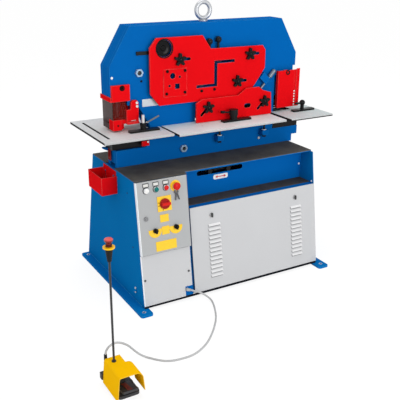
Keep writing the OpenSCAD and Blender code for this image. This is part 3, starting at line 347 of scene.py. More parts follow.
paints = {
    "blue_paint": enamel("bluePaint", tone["blue"], tone["deepBlue"], tone["wearAndHighlightBlue"]),
    "red_paint": enamel("redPaint", tone["red"], tone["deepRed"], tone["wearAndHighlightRed"], 0.36),
    "grey_paint": enamel(
        "greyPaint", tone["panelGrey"], tone["greyShade"], tone["wearAndHighlightGrey"], 0.5, peel=0.00012, cloud=0.15,
    ),
    "yellow_paint": enamel("yellowPaint", tone["yellow"], tone["deepYellow"], tone["wearAndHighlightYellow"]),
    "bright_steel": ground("brightSteel", tone["steel"]),
    "galvanised_steel": ground("galvanisedSteel", tone["zinc"], 0.4, 0.75, (12, 12, 12)),
    "chromed_rod": ground("chromedRod", linear(225, 226, 230), 0.12, 1.0, (60, 60, 4)),
    "tool_steel": plastic("toolSteel", linear(20, 20, 22), 0.34),
    "mat_rubber": plastic("matRubber", tone["mat"], 0.7),
    "cord_rubber": plastic(
        "cordRubber", tone["cord"], 0.5, deep=linear(112, 112, 113), edgeTone=linear(176, 176, 176),
    ),
    "black_plastic": plastic("blackPlastic", tone["black"], 0.3),
    "gear_plastic": plastic("gearPlastic", linear(150, 150, 150)),
    "yellow_plastic": plastic(
        "yellowPlastic", tone["yellow"], 0.35, deep=tone["deepYellow"], edgeTone=tone["wearAndHighlightYellow"],
    ),
    "red_plastic": plastic("redPlastic", linear(216, 20, 16), 0.26, tone["deepRed"], tone["wearAndHighlightRed"]),
    "green_plastic": plastic(
        "greenPlastic", tone["green"], 0.26, deep=linear(4, 72, 62), edgeTone=linear(70, 170, 150),
    ),
    "smoked_glass": smokeGlass(),
}
slotOf = {entry["node"]: entry["material_slot"] for entry in frame["record"]["subparts"]}
finishOf = {name: paints[slotOf[name]] for name in nodes}

panelLook = {
    "leftEdge": -0.5715, "edge": linear(242, 247, 252), "rimBelow": 0.3075, "rimRightOf": -0.2832,
    "rim": linear(112, 113, 115),
}


def litEdge(paint):
    # A painted highlight along the left edges of the door and lower panel
    return paint.x < panelLook["leftEdge"]


def doorPaint():
    # Grey panel with a dark rim along its bottom and right edges, painted shade of the gap round the door
    paint = enamel(
        "doorPaint", tone["doorGrey"], panelLook["edge"], tone["wearAndHighlightGrey"], 0.48, peel=0.0001, cloud=0.0,
        paintedLightMask=litEdge,
    )
    rim = paint.clamp((paint.z < panelLook["rimBelow"]) + (paint.x > panelLook["rimRightOf"]))
    under = Value(paint, paint.shader.inputs["Base Color"].links[0].from_socket)
    return paint.put({"Base Color": paint.mix(rim, under, panelLook["rim"])})


finishOf["control_door"] = doorPaint()
finishOf["lower_panel"] = enamel(
    "lowerPaint", tone["panelGrey"], panelLook["edge"], tone["wearAndHighlightGrey"], 0.5, peel=0.0001, cloud=0.0,
    paintedLightMask=litEdge,
)
darkSteel = ground("darkSteel", linear(74, 74, 76), 0.34, 0.6, (30, 30, 30))
footPlastic = plastic(
    "footPlastic", linear(66, 66, 68), 0.5, deep=linear(40, 40, 42), edgeTone=linear(110, 110, 112),
)
finishOf.update({
    # The side panels and rails get lighter blues than the frame: painted light
    "side_panels": enamel("litSidePaint", linear(4, 112, 178), tone["deepBlue"], tone["wearAndHighlightBlue"]),
    "base_frame": enamel("litRailPaint", linear(6, 116, 190), tone["deepBlue"], tone["wearAndHighlightBlue"]),
    "power_unit": enamel("tankPaint", linear(120, 122, 124), linear(84, 86, 88), tone["greyShade"]),
    "door_lock": ground("lockSteel", linear(124, 125, 127), 0.34, 0.5, (30, 30, 30)),
    "moving_blades": paints["tool_steel"],
    "punch_ram": ground("punchSteel", linear(84, 80, 80), 0.3, 0.6, (160, 160, 6)),
    "hold_down_spindle": ground("spindleSteel", linear(112, 122, 134), 0.3, 0.5, (40, 40, 40)),
    "foot_base": footPlastic,
    "foot_pedal": footPlastic,
})

stationLook = {"stripRight": -0.566, "stripTop": 0.80, "shade": linear(112, 18, 18)}


def dimStation(paint):
    # The strip beside the lower jaw lies in shade
    return (paint.x < stationLook["stripRight"]) * (paint.z < stationLook["stripTop"])


finishOf["punch_brackets"] = enamel(
    "stationRed", tone["red"], stationLook["shade"], tone["wearAndHighlightRed"], 0.36, cloud=0.12, paintedLightMask=dimStation,
)

latchLook = {
    "wingFrom": 0.0084, "body": linear(168, 169, 171), "bodyShade": linear(120, 121, 123),
    "rim": linear(210, 210, 212),
}


def latchPaint():
    # Bright round body, black wing
    paint = Paint("latchPaint")
    rounded, edge = paint.edges(radius=0.0015)
    wing = paint.proud() > latchLook["wingFrom"]
    shade = paint.mottle(latchLook["body"], latchLook["bodyShade"], share=0.4, scale=80)
    shade = paint.mix(wing, shade, tone["black"])
    shade = paint.rim(edge, shade, latchLook["rim"])
    paint.put({"Base Color": shade, "Metallic": 0.4 * (1 - wing)})
    return paint.put({"Roughness": paint.vary(0.34), "Normal": rounded})


for name in ("left_latch", "right_latch"):
    finishOf[name] = latchPaint()

switchLook = {
    "gripFrom": 0.033, "disc": linear(160, 14, 12), "grip": linear(222, 26, 20), "shade": linear(112, 8, 8),
}


def switchPaint():
    # Dark red disc, painted shade, with a brighter grip, painted light
    paint = Paint("switchPaint")
    rounded, edge = paint.edges(radius=0.002)
    shade = paint.mix(paint.proud() > switchLook["gripFrom"], switchLook["disc"], switchLook["grip"])
    shade = paint.mottle(shade, switchLook["shade"], share=0.3, scale=60)
    paint.put({"Base Color": paint.rim(edge, shade, tone["wearAndHighlightRed"]), "Normal": rounded})
    return paint.put({"Roughness": paint.vary(0.3), "Specular IOR Level": 0.15})


finishOf["main_switch"] = switchPaint()

louvreLook = {
    "hoodFrom": 0.0036, "lipLean": 0.1, "peel": 0.0001,
    "hood": linear(232, 232, 233), "lip": linear(150, 150, 152),
}


def louvrePaint():
    # Panel paint, with light on the sloping hoods and shade under their lips
    look = louvreLook
    paint = Paint("louvrePaint")
    rounded, edge = paint.edges(radius=0.002)
    hood = paint.proud() > look["hoodFrom"]
    lean = paint.node("ShaderNodeSeparateXYZ", {0: paint.faceNormal()}, output="Z")
    shade = paint.mottle(tone["panelGrey"], tone["greyShade"], share=0.2, scale=5, detail=4)
    shade = paint.mix(hood, shade, look["hood"])
    shade = paint.mix(hood * (lean < look["lipLean"]), shade, look["lip"])
    shade = paint.rim(edge, shade, tone["wearAndHighlightGrey"], share=0.35)
    paint.put({"Base Color": shade, "Specular IOR Level": 0.0})
    paint.put({"Roughness": paint.vary(0.5, spread=0.14, scale=60, detail=3)})
    grain = paint.noise(*enamelLook["peelGrain"])
    return paint.put({"Normal": paint.bump(grain, look["peel"], rounded)})


finishOf["louvre_panel"] = louvrePaint()

tableLook = {
    "scratchFrom": 0.4, "scratchGain": 0.7, "scratchDepth": 0.00004, "stainFrom": 0.5, "stainGain": 0.9,
    "stain": linear(176, 180, 182), "sideFrom": 0.0008, "frontTo": 0.0006, "side": linear(34, 34, 36),
    "front": linear(188, 189, 190), "roughness": 0.6, "sheenSpread": 0.3, "edgeDull": 0.05,
}


def tablePaint(name, topColour, lowShare):
    # Ground top, scratched and stained; dark edges, the front one a painted highlight above lowShare of its
    # height
    look = tableLook
    paint = Paint(name + "Steel")
    low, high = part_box(name)
    rounded, edge = paint.edges(radius=0.001)
    scratch = paint.noise(scale=9, detail=4, stretch=(6, 160, 160))
    stain = paint.noise(scale=11, detail=6)
    scratched = (scratch - look["scratchFrom"]) * look["scratchGain"]
    stained = (stain - look["stainFrom"]) * look["stainGain"]
    top = paint.mix(paint.clamp(scratched + stained), topColour, look["stain"])
    side = paint.z < high.z - look["sideFrom"]
    facing = paint.y < low.y + look["frontTo"]
    under = paint.z < low.z + lowShare * (high.z - low.z)
    sidesAndHighlight = paint.mix(facing * (1 - under), look["side"], look["front"])
    rough = look["roughness"] + (scratch - noiseMiddle) * look["sheenSpread"] + edge * look["edgeDull"]
    paint.put({"Base Color": paint.mix(side, top, sidesAndHighlight), "Metallic": 0.05 * (1 - side)})
    paint.put({"Specular IOR Level": 0.06, "Roughness": rough})
    return paint.put({"Normal": paint.bump(scratch, look["scratchDepth"], rounded)})


finishOf["left_table"] = tablePaint("left_table", linear(216, 218, 218), lowShare=0.08)
finishOf["middle_table"] = tablePaint("middle_table", linear(226, 236, 236), lowShare=0.08)
finishOf["right_table"] = tablePaint("right_table", linear(204, 214, 214), lowShare=0.5)

matLook = {
    "pitch": 0.006, "ribHeight": 0.0004, "topFrom": 0.6, "top": linear(94, 91, 86), "patches": (9, 5),
    "patchGain": 1.6, "patchFrom": 0.5, "patch": linear(54, 50, 46),
}


def matRibs():
    # Fine ribs along the mat, height = sin(2 pi y / pitch), trodden dark patches, and painted light above
    # topFrom
    look = matLook
    paint = Paint("ribbedMat")
    litMat = paint.mix(paint.z > look["topFrom"], tone["mat"], look["top"])
    patches = paint.clamp(paint.noise(*look["patches"]) * look["patchGain"] - look["patchFrom"])
    paint.put({"Base Color": paint.mix(patches, litMat, look["patch"]), "Specular IOR Level": 0.2})
    paint.put({"Roughness": paint.vary(0.68, scale=40, detail=3)})
    return paint.put({"Normal": paint.bump(paint.ribs(paint.y, look["pitch"]), look["ribHeight"])})


finishOf["rubber_mats"] = matRibs()

pinLook = {
    "pivotRadius": 0.07, "boreRadius": 0.0115, "lowerTie": (-0.157, 0.753), "upperTie": (-0.420, 1.196),
    "mottle": (90, 3), "mottleFrom": 0.4, "zinc": linear(150, 176, 200), "zincShade": linear(92, 124, 156),
    "rim": linear(226, 232, 238),
}


def pinPaint():
    # The main pivot is black, the tie nuts are zinc plated, their bores are painted dark as shade in the
    # holes
    look = pinLook
    paint = Paint("pinPaint")
    rounded, edge = paint.edges(radius=0.002)
    pivot = paint.radius(*pivotSpot) < look["pivotRadius"]
    lowerBore = paint.radius(*look["lowerTie"]) < look["boreRadius"]
    upperBore = paint.radius(*look["upperTie"]) < look["boreRadius"]
    dark = paint.clamp(pivot + (lowerBore + upperBore))
    mottle = paint.clamp(paint.noise(*look["mottle"]) - look["mottleFrom"])
    plated = paint.rim(edge, paint.mix(mottle, look["zinc"], look["zincShade"]), look["rim"], share=0.7)
    paint.put({"Base Color": paint.mix(dark, plated, tone["black"]), "Metallic": 0.4 * (1 - dark)})
    return paint.put({"Roughness": paint.vary(0.34, scale=80), "Normal": rounded})


finishOf["frame_pins"] = pinPaint()

poleLook = {
    "bootFrom": 0.6095, "discFrom": 0.6695, "discTo": 0.6765, "pitch": 0.009, "ribHeight": 0.0006,
    "tube": linear(58, 58, 60), "tubeShade": linear(30, 30, 31), "collar": linear(70, 12, 10),
    "bootDull": 0.25,
}


def polePaint():
    # Dark tube, a ribbed rubber boot below the head, a yellow disc and a dark collar under the button
    look = poleLook
    paint = Paint("polePaint")
    disc = (paint.z > look["discFrom"]) * (paint.z < look["discTo"])
    boot = (paint.z > look["bootFrom"]) * (paint.z < look["discFrom"])
    shade = paint.mottle(look["tube"], look["tubeShade"], share=0.6, scale=70)
    shade = paint.mix(boot, shade, tone["soot"])
    shade = paint.mix(paint.z > look["discTo"], shade, look["collar"])
    shade = paint.mix(disc, shade, tone["yellow"])
    rough = paint.vary(0.39, spread=0.1) + boot * look["bootDull"]
    paint.put({"Base Color": shade, "Roughness": rough, "Specular IOR Level": 0.3})
    return paint.put({"Normal": paint.bump(paint.ribs(paint.z, look["pitch"]) * boot, look["ribHeight"])})


finishOf["foot_pole"] = polePaint()

mushroomLook = {
    "topFrom": 0.7045, "topGain": 200, "body": linear(104, 14, 12), "top": linear(228, 84, 78),
}


def mushroomPaint():
    # Foot stop: pale top, painted light from above, and a dark red body, painted shade
    look = mushroomLook
    paint = Paint("footMushroom")
    top = paint.clamp((paint.z - look["topFrom"]) * look["topGain"])
    shade = paint.mottle(paint.mix(top, look["body"], look["top"]), tone["deepRed"], share=0.3, scale=50)
    return paint.put({"Base Color": shade, "Roughness": paint.vary(0.34, spread=0.12)})


finishOf["foot_button"] = mushroomPaint()

glandLook = {
    "cabinetFrom": -0.6, "pitch": 0.006, "ribHeight": 0.0004, "cabinet": linear(188, 188, 186),
    "mottle": linear(60, 60, 60),
}


def glandPaint():
    # Black and ribbed at the foot switch, light grey at the cabinet
    look = glandLook
    paint = Paint("glandPaint")
    cabinet = paint.x > look["cabinetFrom"]
    ribs = paint.ribs(paint.z, look["pitch"]) * (1 - cabinet)
    shade = paint.mix(cabinet, tone["black"], look["cabinet"])
    shade = paint.mottle(shade, look["mottle"], share=0.25, scale=80)
    paint.put({"Base Color": shade, "Roughness": paint.vary(0.4), "Specular IOR Level": 0.15})
    return paint.put({"Normal": paint.bump(ribs, look["ribHeight"])})


finishOf["cord_glands"] = glandPaint()

fittingsLook = {
    "rowFrom": 0.624, "rowRight": -0.386, "legendFrom": 0.6612, "insertZ": 0.6737, "insertWide": 0.0138,
    "insertTall": 0.0072, "bezelZ": 0.6466, "lampRadius": 0.0124, "buttonRadius": 0.0136,
    "bezel": linear(206, 208, 210), "legend": linear(40, 41, 44), "insert": linear(214, 214, 210),
    "redField": linear(196, 30, 26),
}


def fittingsPaint():
    # Top row: framed pale legend plates, bright bezels round coloured fields; the rest yellow
    look = fittingsLook
    paint = Paint("fittingsPaint")
    rounded, edge = paint.edges(radius=0.0012)
    row = (paint.z > look["rowFrom"]) * (paint.x < look["rowRight"])
    legend = row * (paint.z > look["legendFrom"])
    lampAway, greenAway, redAway = (abs(paint.x - deviceX[device]) for device in ("lamp", "green", "red"))
    across = paint.math("MINIMUM", paint.math("MINIMUM", lampAway, greenAway), redAway)
    tall = abs(paint.z - look["insertZ"])
    insert = legend * (across < look["insertWide"]) * (tall < look["insertTall"])
    lamp = row * (paint.radius(deviceX["lamp"], look["bezelZ"]) < look["lampRadius"])
    green = row * (paint.radius(deviceX["green"], look["bezelZ"]) < look["buttonRadius"])
    red = row * (paint.radius(deviceX["red"], look["bezelZ"]) < look["buttonRadius"])
    shade = paint.mottle(tone["labelYellow"], tone["deepYellow"], share=0.25, scale=60, detail=4)
    shade = paint.rim(edge, shade, tone["wearAndHighlightYellow"])
    shade = paint.mix(row, shade, look["bezel"])
    shade = paint.mix(legend, shade, look["legend"])
    shade = paint.mix(insert, shade, look["insert"])
    shade = paint.mix(lamp, shade, tone["white"])
    shade = paint.mix(green, shade, tone["green"])
    shade = paint.mix(red, shade, look["redField"])
    bare = row * (1 - legend) * (1 - lamp) * (1 - green) * (1 - red)
    paint.put({"Base Color": shade, "Metallic": bare * 0.7})
    return paint.put({"Roughness": paint.vary(0.34), "Normal": rounded})


finishOf["door_fittings"] = fittingsPaint()

stopLook = {
    "post": -0.425, "postHalf": 0.022, "leverFrom": 0.9075, "brightFrom": 0.942,
    "bar": linear(24, 24, 25), "lever": linear(112, 114, 116), "rod": linear(214, 215, 216),
}


def stopPaint():
    # Blackened bar and clamp, grey lever, bright rod above
    look = stopLook
    paint = Paint("leftStopPaint")
    rounded, edge = paint.edges(radius=0.0015)
    lever = ((paint.x - look["post"]) ** 2 > look["postHalf"] ** 2) * (paint.z > look["leverFrom"])
    bright = (paint.z > look["brightFrom"]) * (1 - lever)
    dark = paint.mottle(look["bar"], tone["soot"], share=0.3, scale=80)
    shade = paint.mix(lever, paint.rim(edge, dark, tone["edgeTone"]), look["lever"])
    paint.put({"Base Color": paint.mix(bright, shade, look["rod"]), "Metallic": bright * 0.4})
    paint.put({"Specular IOR Level": 0.15, "Normal": rounded})
    return paint.put({"Roughness": paint.vary(0.32, scale=120, detail=3)})


finishOf["left_stop"] = stopPaint()

for name, piece in nodes.items():
    piece.data.materials.clear()
    piece.data.materials.append(finishOf[name].material)
print("stage: materials")

sharpAngle = math.radians(34)
latheSides = 32


def gridMesh(name, points, paint, body):
    # points is rows x columns x 3; quads join neighbours, and the columns wrap round
    rows, columns = points.shape[:2]
    index = np.arange(rows * columns).reshape(rows, columns)
    ahead = np.roll(index, -1, axis=1)
    quads = np.stack([index[:-1], ahead[:-1], ahead[1:], index[1:]], axis=-1)
    mesh = bpy.data.meshes.new(name)
    mesh.from_pydata(points.reshape(-1, 3).tolist(), [], quads.reshape(-1, 4).tolist())
    mesh.materials.append(paint.material)
    mesh.shade_smooth()
    mesh.set_sharp_from_angle(angle=sharpAngle)
    piece = bpy.data.objects.new(name, mesh)
    scene.collection.objects.link(piece)
    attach(piece, body)
    return piece


# Foot switch cord: the route of the solid, from the foot gland over the floor to the cabinet gland
cord = {"radius": 0.005, "sides": 20, "steps": 8}
cordRoute = [
    (-0.990, -0.852, 0.145), (-0.984, -0.851, 0.163), (-0.966, -0.847, 0.177), (-0.937, -0.838, 0.178),
    (-0.899, -0.821, 0.156), (-0.859, -0.800, 0.118), (-0.828, -0.784, 0.078), (-0.796, -0.770, 0.038),
    (-0.770, -0.767, 0.014), (-0.748, -0.782, 0.005), (-0.724, -0.812, 0.005), (-0.690, -0.843, 0.005),
    (-0.645, -0.860, 0.005), (-0.574, -0.864, 0.005), (-0.525, -0.852, 0.005), (-0.482, -0.830, 0.005),
    (-0.440, -0.801, 0.005), (-0.401, -0.765, 0.005), (-0.362, -0.724, 0.005), (-0.327, -0.682, 0.005),
    (-0.296, -0.641, 0.005), (-0.268, -0.594, 0.005), (-0.244, -0.545, 0.005), (-0.226, -0.500, 0.006),
    (-0.217, -0.462, 0.011), (-0.224, -0.436, 0.020), (-0.240, -0.418, 0.032), (-0.262, -0.407, 0.045),
    (-0.285, -0.399, 0.054), (-0.304, -0.389, 0.061),
]


def smoothRoute(points, steps):
    # Catmull-Rom curve through the points, each span cut into equal steps
    route = np.array(points)
    padded = np.vstack([route[:1], route, route[-1:]])
    spans = (padded[:-3], padded[1:-2], padded[2:-1], padded[3:])
    a, b, c, d = (part[:, None, :] for part in spans)
    t = (np.arange(steps) / steps)[None, :, None]
    bend = (2 * a - 5 * b + 4 * c - d) * t ** 2 + (3 * b - a - 3 * c + d) * t ** 3
    curve = 0.5 * (2 * b + (c - a) * t + bend)
    return np.vstack([curve.reshape(-1, 3), route[-1:]])


def tube(path, radius, sides):
    # Rings across the path: side = direction x up, lift = side x direction
    ahead = np.gradient(path, axis=0)
    ahead /= np.linalg.norm(ahead, axis=1)[:, None]
    side = np.cross(ahead, [0, 0, 1.0])
    side /= np.linalg.norm(side, axis=1)[:, None]
    lift = np.cross(side, ahead)
    turn = np.linspace(0, 2 * np.pi, sides, endpoint=False)[None, :, None]
    rings = path[:, None, :] + radius * (np.cos(turn) * side[:, None, :] + np.sin(turn) * lift[:, None, :])
    first = np.repeat(path[:1, None, :], sides, axis=1)
    last = np.repeat(path[-1:, None, :], sides, axis=1)
    return np.concatenate([first, rings, last])


cordLine = smoothRoute(cordRoute, cord["steps"])
cordLine[:, 2] = np.maximum(cordLine[:, 2], cord["radius"])
cordTube = tube(cordLine, cord["radius"], cord["sides"])
cordPiece = gridMesh("footCord", cordTube, paints["cord_rubber"], "machine")
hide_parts("foot_cord")


def axesOf(normal):
    # Two directions across a normal: u level, v up
    w = np.array(normal, dtype=float)
    w /= np.linalg.norm(w)
    level = np.array([0, 0, 1.0]) if abs(w[2]) < 0.9 else np.array([0, 1.0, 0])
    u = np.cross(level, w)
    u /= np.linalg.norm(u)
    return u, np.cross(w, u), w


def lathe(profile, centre, normal, sides):
    # centre + r (cos t u + sin t v) + h w for each (r, h) of the profile
    u, v, w = axesOf(normal)
    turn = np.linspace(0, 2 * np.pi, sides, endpoint=False)
    ring = np.cos(turn)[:, None] * u + np.sin(turn)[:, None] * v
    shape = np.array(profile, dtype=float)
    return np.array(centre) + shape[:, 0, None, None] * ring + shape[:, 1, None, None] * w


def roundRect(width, height, corner, perCorner=6):
    # Corner arcs of a rounded rectangle, counter-clockwise
    turn = np.linspace(0, np.pi / 2, perCorner)
    starts = np.arange(4)[:, None] * np.pi / 2 + turn
    signs = np.array([[1, 1], [-1, 1], [-1, -1], [1, -1]])
    arcs = np.stack([np.cos(starts), np.sin(starts)], axis=-1) * corner
    middle = signs * np.array([width / 2 - corner, height / 2 - corner])
    return (arcs + middle[:, None, :]).reshape(-1, 2)


def plate(settings, centre, normal, turn=0.0, bevelShare=0.3):
    # A rounded plate with a bevelled front edge, turned about its normal, closed at both faces
    width, height = settings["size"]
    thick = settings["thick"]
    bevel = thick * bevelShare
    u, v, w = axesOf(normal)
    along = math.cos(turn) * u + math.sin(turn) * v
    up = math.cos(turn) * v - math.sin(turn) * u
    outline = roundRect(width, height, settings["corner"])
    inner = outline * (1 - 2 * bevel / np.array([width, height]))
    rings = [outline * 0, outline, outline, inner, inner * 0]
    lifts = [0, 0, thick - bevel, thick, thick]
    start = np.array(centre)
    return np.array([
        start + ring[:, :1] * along + ring[:, 1:] * up + lift * w for ring, lift in zip(rings, lifts)
    ])


screwShape = {"hole": 0.55, "taper": 0.96, "floor": 0.35, "shoulder": 0.8, "crown": 0.88}


def socketScrew(radius, height):
    # Cap screw with a hollow in its head
    hole = radius * screwShape["hole"]
    floor = height * screwShape["floor"]
    shoulder = height * screwShape["shoulder"]
    rim = [(0, 0), (radius, 0), (radius, shoulder), (radius * screwShape["crown"], height)]
    return rim + [(hole, height), (hole * screwShape["taper"], floor), (0, floor)]


def domeHead(radius, height, steps=7):
    # Round head: r cos a, h sin a
    turns = np.linspace(0, np.pi / 2, steps)
    return [(0, 0)] + [(radius * math.cos(turn), height * math.sin(turn)) for turn in turns]


def ringProfile(inner, outer, thick, shoulderShare=0.6):
    # Closed cross-section of a flat ring with a crowned face
    middle = (inner + outer) / 2
    shoulder = thick * shoulderShare
    return [(inner, 0), (outer, 0), (outer, shoulder), (middle, thick), (inner, shoulder), (inner, 0)]


def onFront(x, z, n):
    # The point at x and z on the sloping front, then n metres out
    y = frontSlope["bottom"] + (z - frontSlope["low"]) * slopeRun
    return np.array([x, y, z]) + n * np.array(frontNormal)


# Directions, and the faces that small pieces sit on
front = (0, -1, 0)
rearWay = (0, 1, 0)
leftWay = (-1, 0, 0)
upWay = (0, 0, 1)
faceFront = -0.032
stationFront = -0.046
guardFront = -0.062
barFront = -0.065
lowerFront = -0.079
recessBack = -0.176
sideFace = -0.577
tableTop = 0.896
railTop = 0.012

screwPaint = plastic("screwSteel", linear(20, 15, 15), 0.4, gloss=0.05)
brightScrew = ground("brightScrew", linear(210, 211, 213), 0.3, 0.6, (30, 30, 30))
whitePaint = plastic("whitePlate", tone["white"], 0.4, deep=linear(214, 214, 210), edgeTone=tone["white"])
bareMetal = ground("bareMetal", linear(190, 196, 202), 0.4, 0.5, (6, 160, 160))
glossBlack = plastic("glossBlack", linear(10, 10, 11), 0.2, gloss=0.12)
# Grey of the strips under the louvres' hoods: painted shade
underHoodShadePaint = plastic(
    "louvreShade", linear(142, 142, 144), 0.7, linear(124, 124, 126), linear(160, 160, 160), gloss=0,
)
# Near black sheets that stand for shade in gaps: painted shade
shadowSheetPaint = plastic("gapShadowSheet", linear(30, 32, 38), 0.7, gloss=0)


def spin(name, profile, centre, normal, paint, body="machine", sides=latheSides):
    gridMesh(name, lathe(profile, centre, normal, sides), paint, body)


def turned(group, paint, normal, body="machine"):
    # Each name's lathe shape at each of its places
    for name, (profile, places) in group.items():
        for number, centre in enumerate(places):
            spin(f"{name}{number}", profile, centre, normal, paint, body)


def sheet(name, settings, paint, body="machine"):
    gridMesh(name, plate(settings, settings["centre"], settings["normal"]), paint, body)


def onDoor(device, lift):
    return onFront(deviceX[device], deviceRow, doorFace + lift)


guardScrew = socketScrew(radius=0.0078, height=0.005)
guardScrews = {
    "barScrew": (guardScrew, [
        (-0.268, barFront, 1.195), (-0.162, barFront, 1.193), (-0.274, barFront, 1.076),
        (-0.163, barFront, 1.076),
    ]),
    "slotScrew": (guardScrew, [(-0.057, guardFront, 1.072), (0.025, guardFront, 1.074)]),
}
turned(guardScrews, screwPaint, front, body="upper_guard")
darkHeads = {
    "headScrew": (socketScrew(radius=0.0082, height=0.005), [(-0.521, -0.0385, 1.126)]),
    "screwRing": (ringProfile(inner=0.0085, outer=0.0145, thick=0.003), [
        (-0.521, stationFront, 1.126), (0.530, -0.061, 1.125),
    ]),
    "stripperScrew": (domeHead(radius=0.005, height=0.002), [(-0.550, stationFront, 0.931)]),
    "frameDot": (socketScrew(radius=0.006, height=0.003), [(-0.405, faceFront, 1.150)]),
}
turned(darkHeads, screwPaint, front)
whiteHeads = {
    "punchBolt": (socketScrew(radius=0.007, height=0.006), [
        (-0.441, stationFront, 1.043), (-0.440, stationFront, 1.024),
    ]),
    "clipScrew": (domeHead(radius=0.006, height=0.003), [(-0.380, stationFront, 0.822)]),
    "noseRivet": (domeHead(radius=0.007, height=0.003), [(-0.570, faceFront, 1.180)]),
    "backRivet": (domeHead(radius=0.0065, height=0.003), [(0.560, recessBack, 0.593)]),
}
turned(whiteHeads, whitePaint, front)
bolsterScrews = {
    "bolsterScrew": (socketScrew(radius=0.009, height=0.010), [
        (x, -0.012, 0.846) for x in (-0.548, -0.500, -0.452)
    ]),
}
turned(bolsterScrews, darkSteel, front)
frameScrews = {"frameScrew": (socketScrew(radius=0.008, height=0.005), [(0.357, faceFront, 0.745)])}
turned(frameScrews, brightScrew, front)
washers = {
    "tableWasher": (ringProfile(inner=0.0062, outer=0.0145, thick=0.004), [
        (0.065, -0.061, 0.805), (0.375, -0.061, 0.800),
    ]),
}
turned(washers, whitePaint, upWay)
topHeads = {
    "anchorRing": (ringProfile(inner=0.0072, outer=0.0105, thick=0.0008), [
        (x, y, railTop) for y in (-0.404, 0.404) for x in (-0.593, 0.593)
    ]),
    "tableScrew": (domeHead(radius=0.006, height=0.0012), [
        (x, y, tableTop) for x, y in (
            (-0.589, 0.193), (-0.550, -0.070), (-0.522, -0.058), (-0.335, -0.114), (-0.090, -0.132),
            (0.474, -0.117),
        )
    ]),
}
turned(topHeads, brightScrew, upWay)
panelScrews = {
    "panelScrew": (socketScrew(radius=0.006, height=0.004), [
        onFront(-0.562, 0.167, panelFace), onFront(-0.301, 0.163, panelFace),
    ]),
}
turned(panelScrews, darkSteel, frontNormal)
earthScrews = {
    "earthScrew": (socketScrew(radius=0.0075, height=0.005), [
        (sideFace, -0.271, 0.089), (sideFace, -0.2695, 0.067),
    ]),
}
turned(earthScrews, brightScrew, leftWay)
sideDots = {
    "sideScrew": (domeHead(radius=0.0045, height=0.002), [
        (sideFace, -0.196, 0.610), (sideFace, -0.249, 0.3215),
    ]),
}
turned(sideDots, screwPaint, leftWay)
wallRivets = {"wallRivet": (domeHead(radius=0.0065, height=0.003), [(0.573, -0.288, 0.512)])}
turned(wallRivets, whitePaint, leftWay)

# Ring round the upper guard's window, and the dished cap of the pivot
windowRing = {"profile": ringProfile(inner=0.0455, outer=0.051, thick=0.0045), "sides": 56}
ringCentre = (pivotSpot[0], guardFront, pivotSpot[1])
spin("windowRing", windowRing["profile"], ringCentre, front, glossBlack, "upper_guard",
     windowRing["sides"])
pivotCap = {
    "profile": [
        (0, 0), (0.040, 0), (0.040, 0.0035), (0.0368, 0.005), (0.032, 0.002), (0.015, 0.002),
        (0.012, 0.005), (0, 0.005),
    ],
    "face": -0.044, "sides": 48,
}
capCentre = (pivotSpot[0], pivotCap["face"], pivotSpot[1])
spin("pivotCap", pivotCap["profile"], capCentre, front, glossBlack, sides=pivotCap["sides"])

knobCap = {"profile": domeHead(radius=0.0135, height=0.006), "lift": 0.0203}
knobPlaces = {
    "knob_upper_left": (-0.193, guardFront, 1.252),
    "knob_upper_right": (0.253, guardFront, 1.252),
    "knob_upper_low": (0.172, guardFront, 1.106),
    "knob_lower_left": (-0.025, lowerFront, 0.980),
    "knob_lower_right": (0.352, lowerFront, 0.978),
}
for name, (x, y, z) in knobPlaces.items():
    centre = (x, y - knobCap["lift"], z)
    spin(name + "Cap", knobCap["profile"], centre, front, glossBlack, name)

barePlate = {
    "size": (0.095, 0.040), "corner": 0.003, "thick": 0.0015, "centre": (-0.3555, faceFront, 1.033),
    "normal": front,
}
sheet("barePlate", barePlate, bareMetal)

arrowPlate = {
    "size": (0.095, 0.028), "corner": 0.009, "thick": 0.0015, "centre": (0.005, recessBack, 0.603),
    "normal": front, "barReach": 0.024, "barHalf": 0.0028, "headFrom": 0.021, "tip": 0.036,
    "headSlope": 0.62, "red": linear(206, 40, 52),
}


def arrowPaint(look):
    # White plate with a red double arrow: a bar, and two heads where |z| < slope (tip - |x|)
    paint = Paint("arrowPaint")
    across = abs(paint.x - look["centre"][0])
    tall = abs(paint.z - look["centre"][2])
    bar = (across < look["barReach"]) * (tall < look["barHalf"])
    head = (across > look["headFrom"]) * (tall < (look["tip"] - across) * look["headSlope"])
    shade = paint.mix(paint.clamp(bar + head), tone["white"], look["red"])
    return paint.put({"Base Color": shade, "Roughness": paint.vary(0.4, spread=0.1, scale=80)})


sheet("arrowPlate", arrowPlate, arrowPaint(arrowPlate))

# Sheets that close the view past the punch and through the throat; the throat one is painted shade
stationSheet = {
    "size": (0.058, 0.136), "corner": 0.002, "thick": 0.0015, "centre": (-0.474, 0.0600, 0.990),
    "normal": front,
}
sheet("stationSheet", stationSheet, paints["red_paint"])
throatShadowSheet = {
    "size": (0.070, 0.090), "corner": 0.002, "thick": 0.0015, "centre": (-0.418, 0.0845, 0.990),
    "normal": rearWay,
}
throatShadowPaint = enamel("throatShadowPaint", linear(56, 40, 88), linear(40, 34, 80), tone["wearAndHighlightBlue"])
sheet("throatShadowSheet", throatShadowSheet, throatShadowPaint)

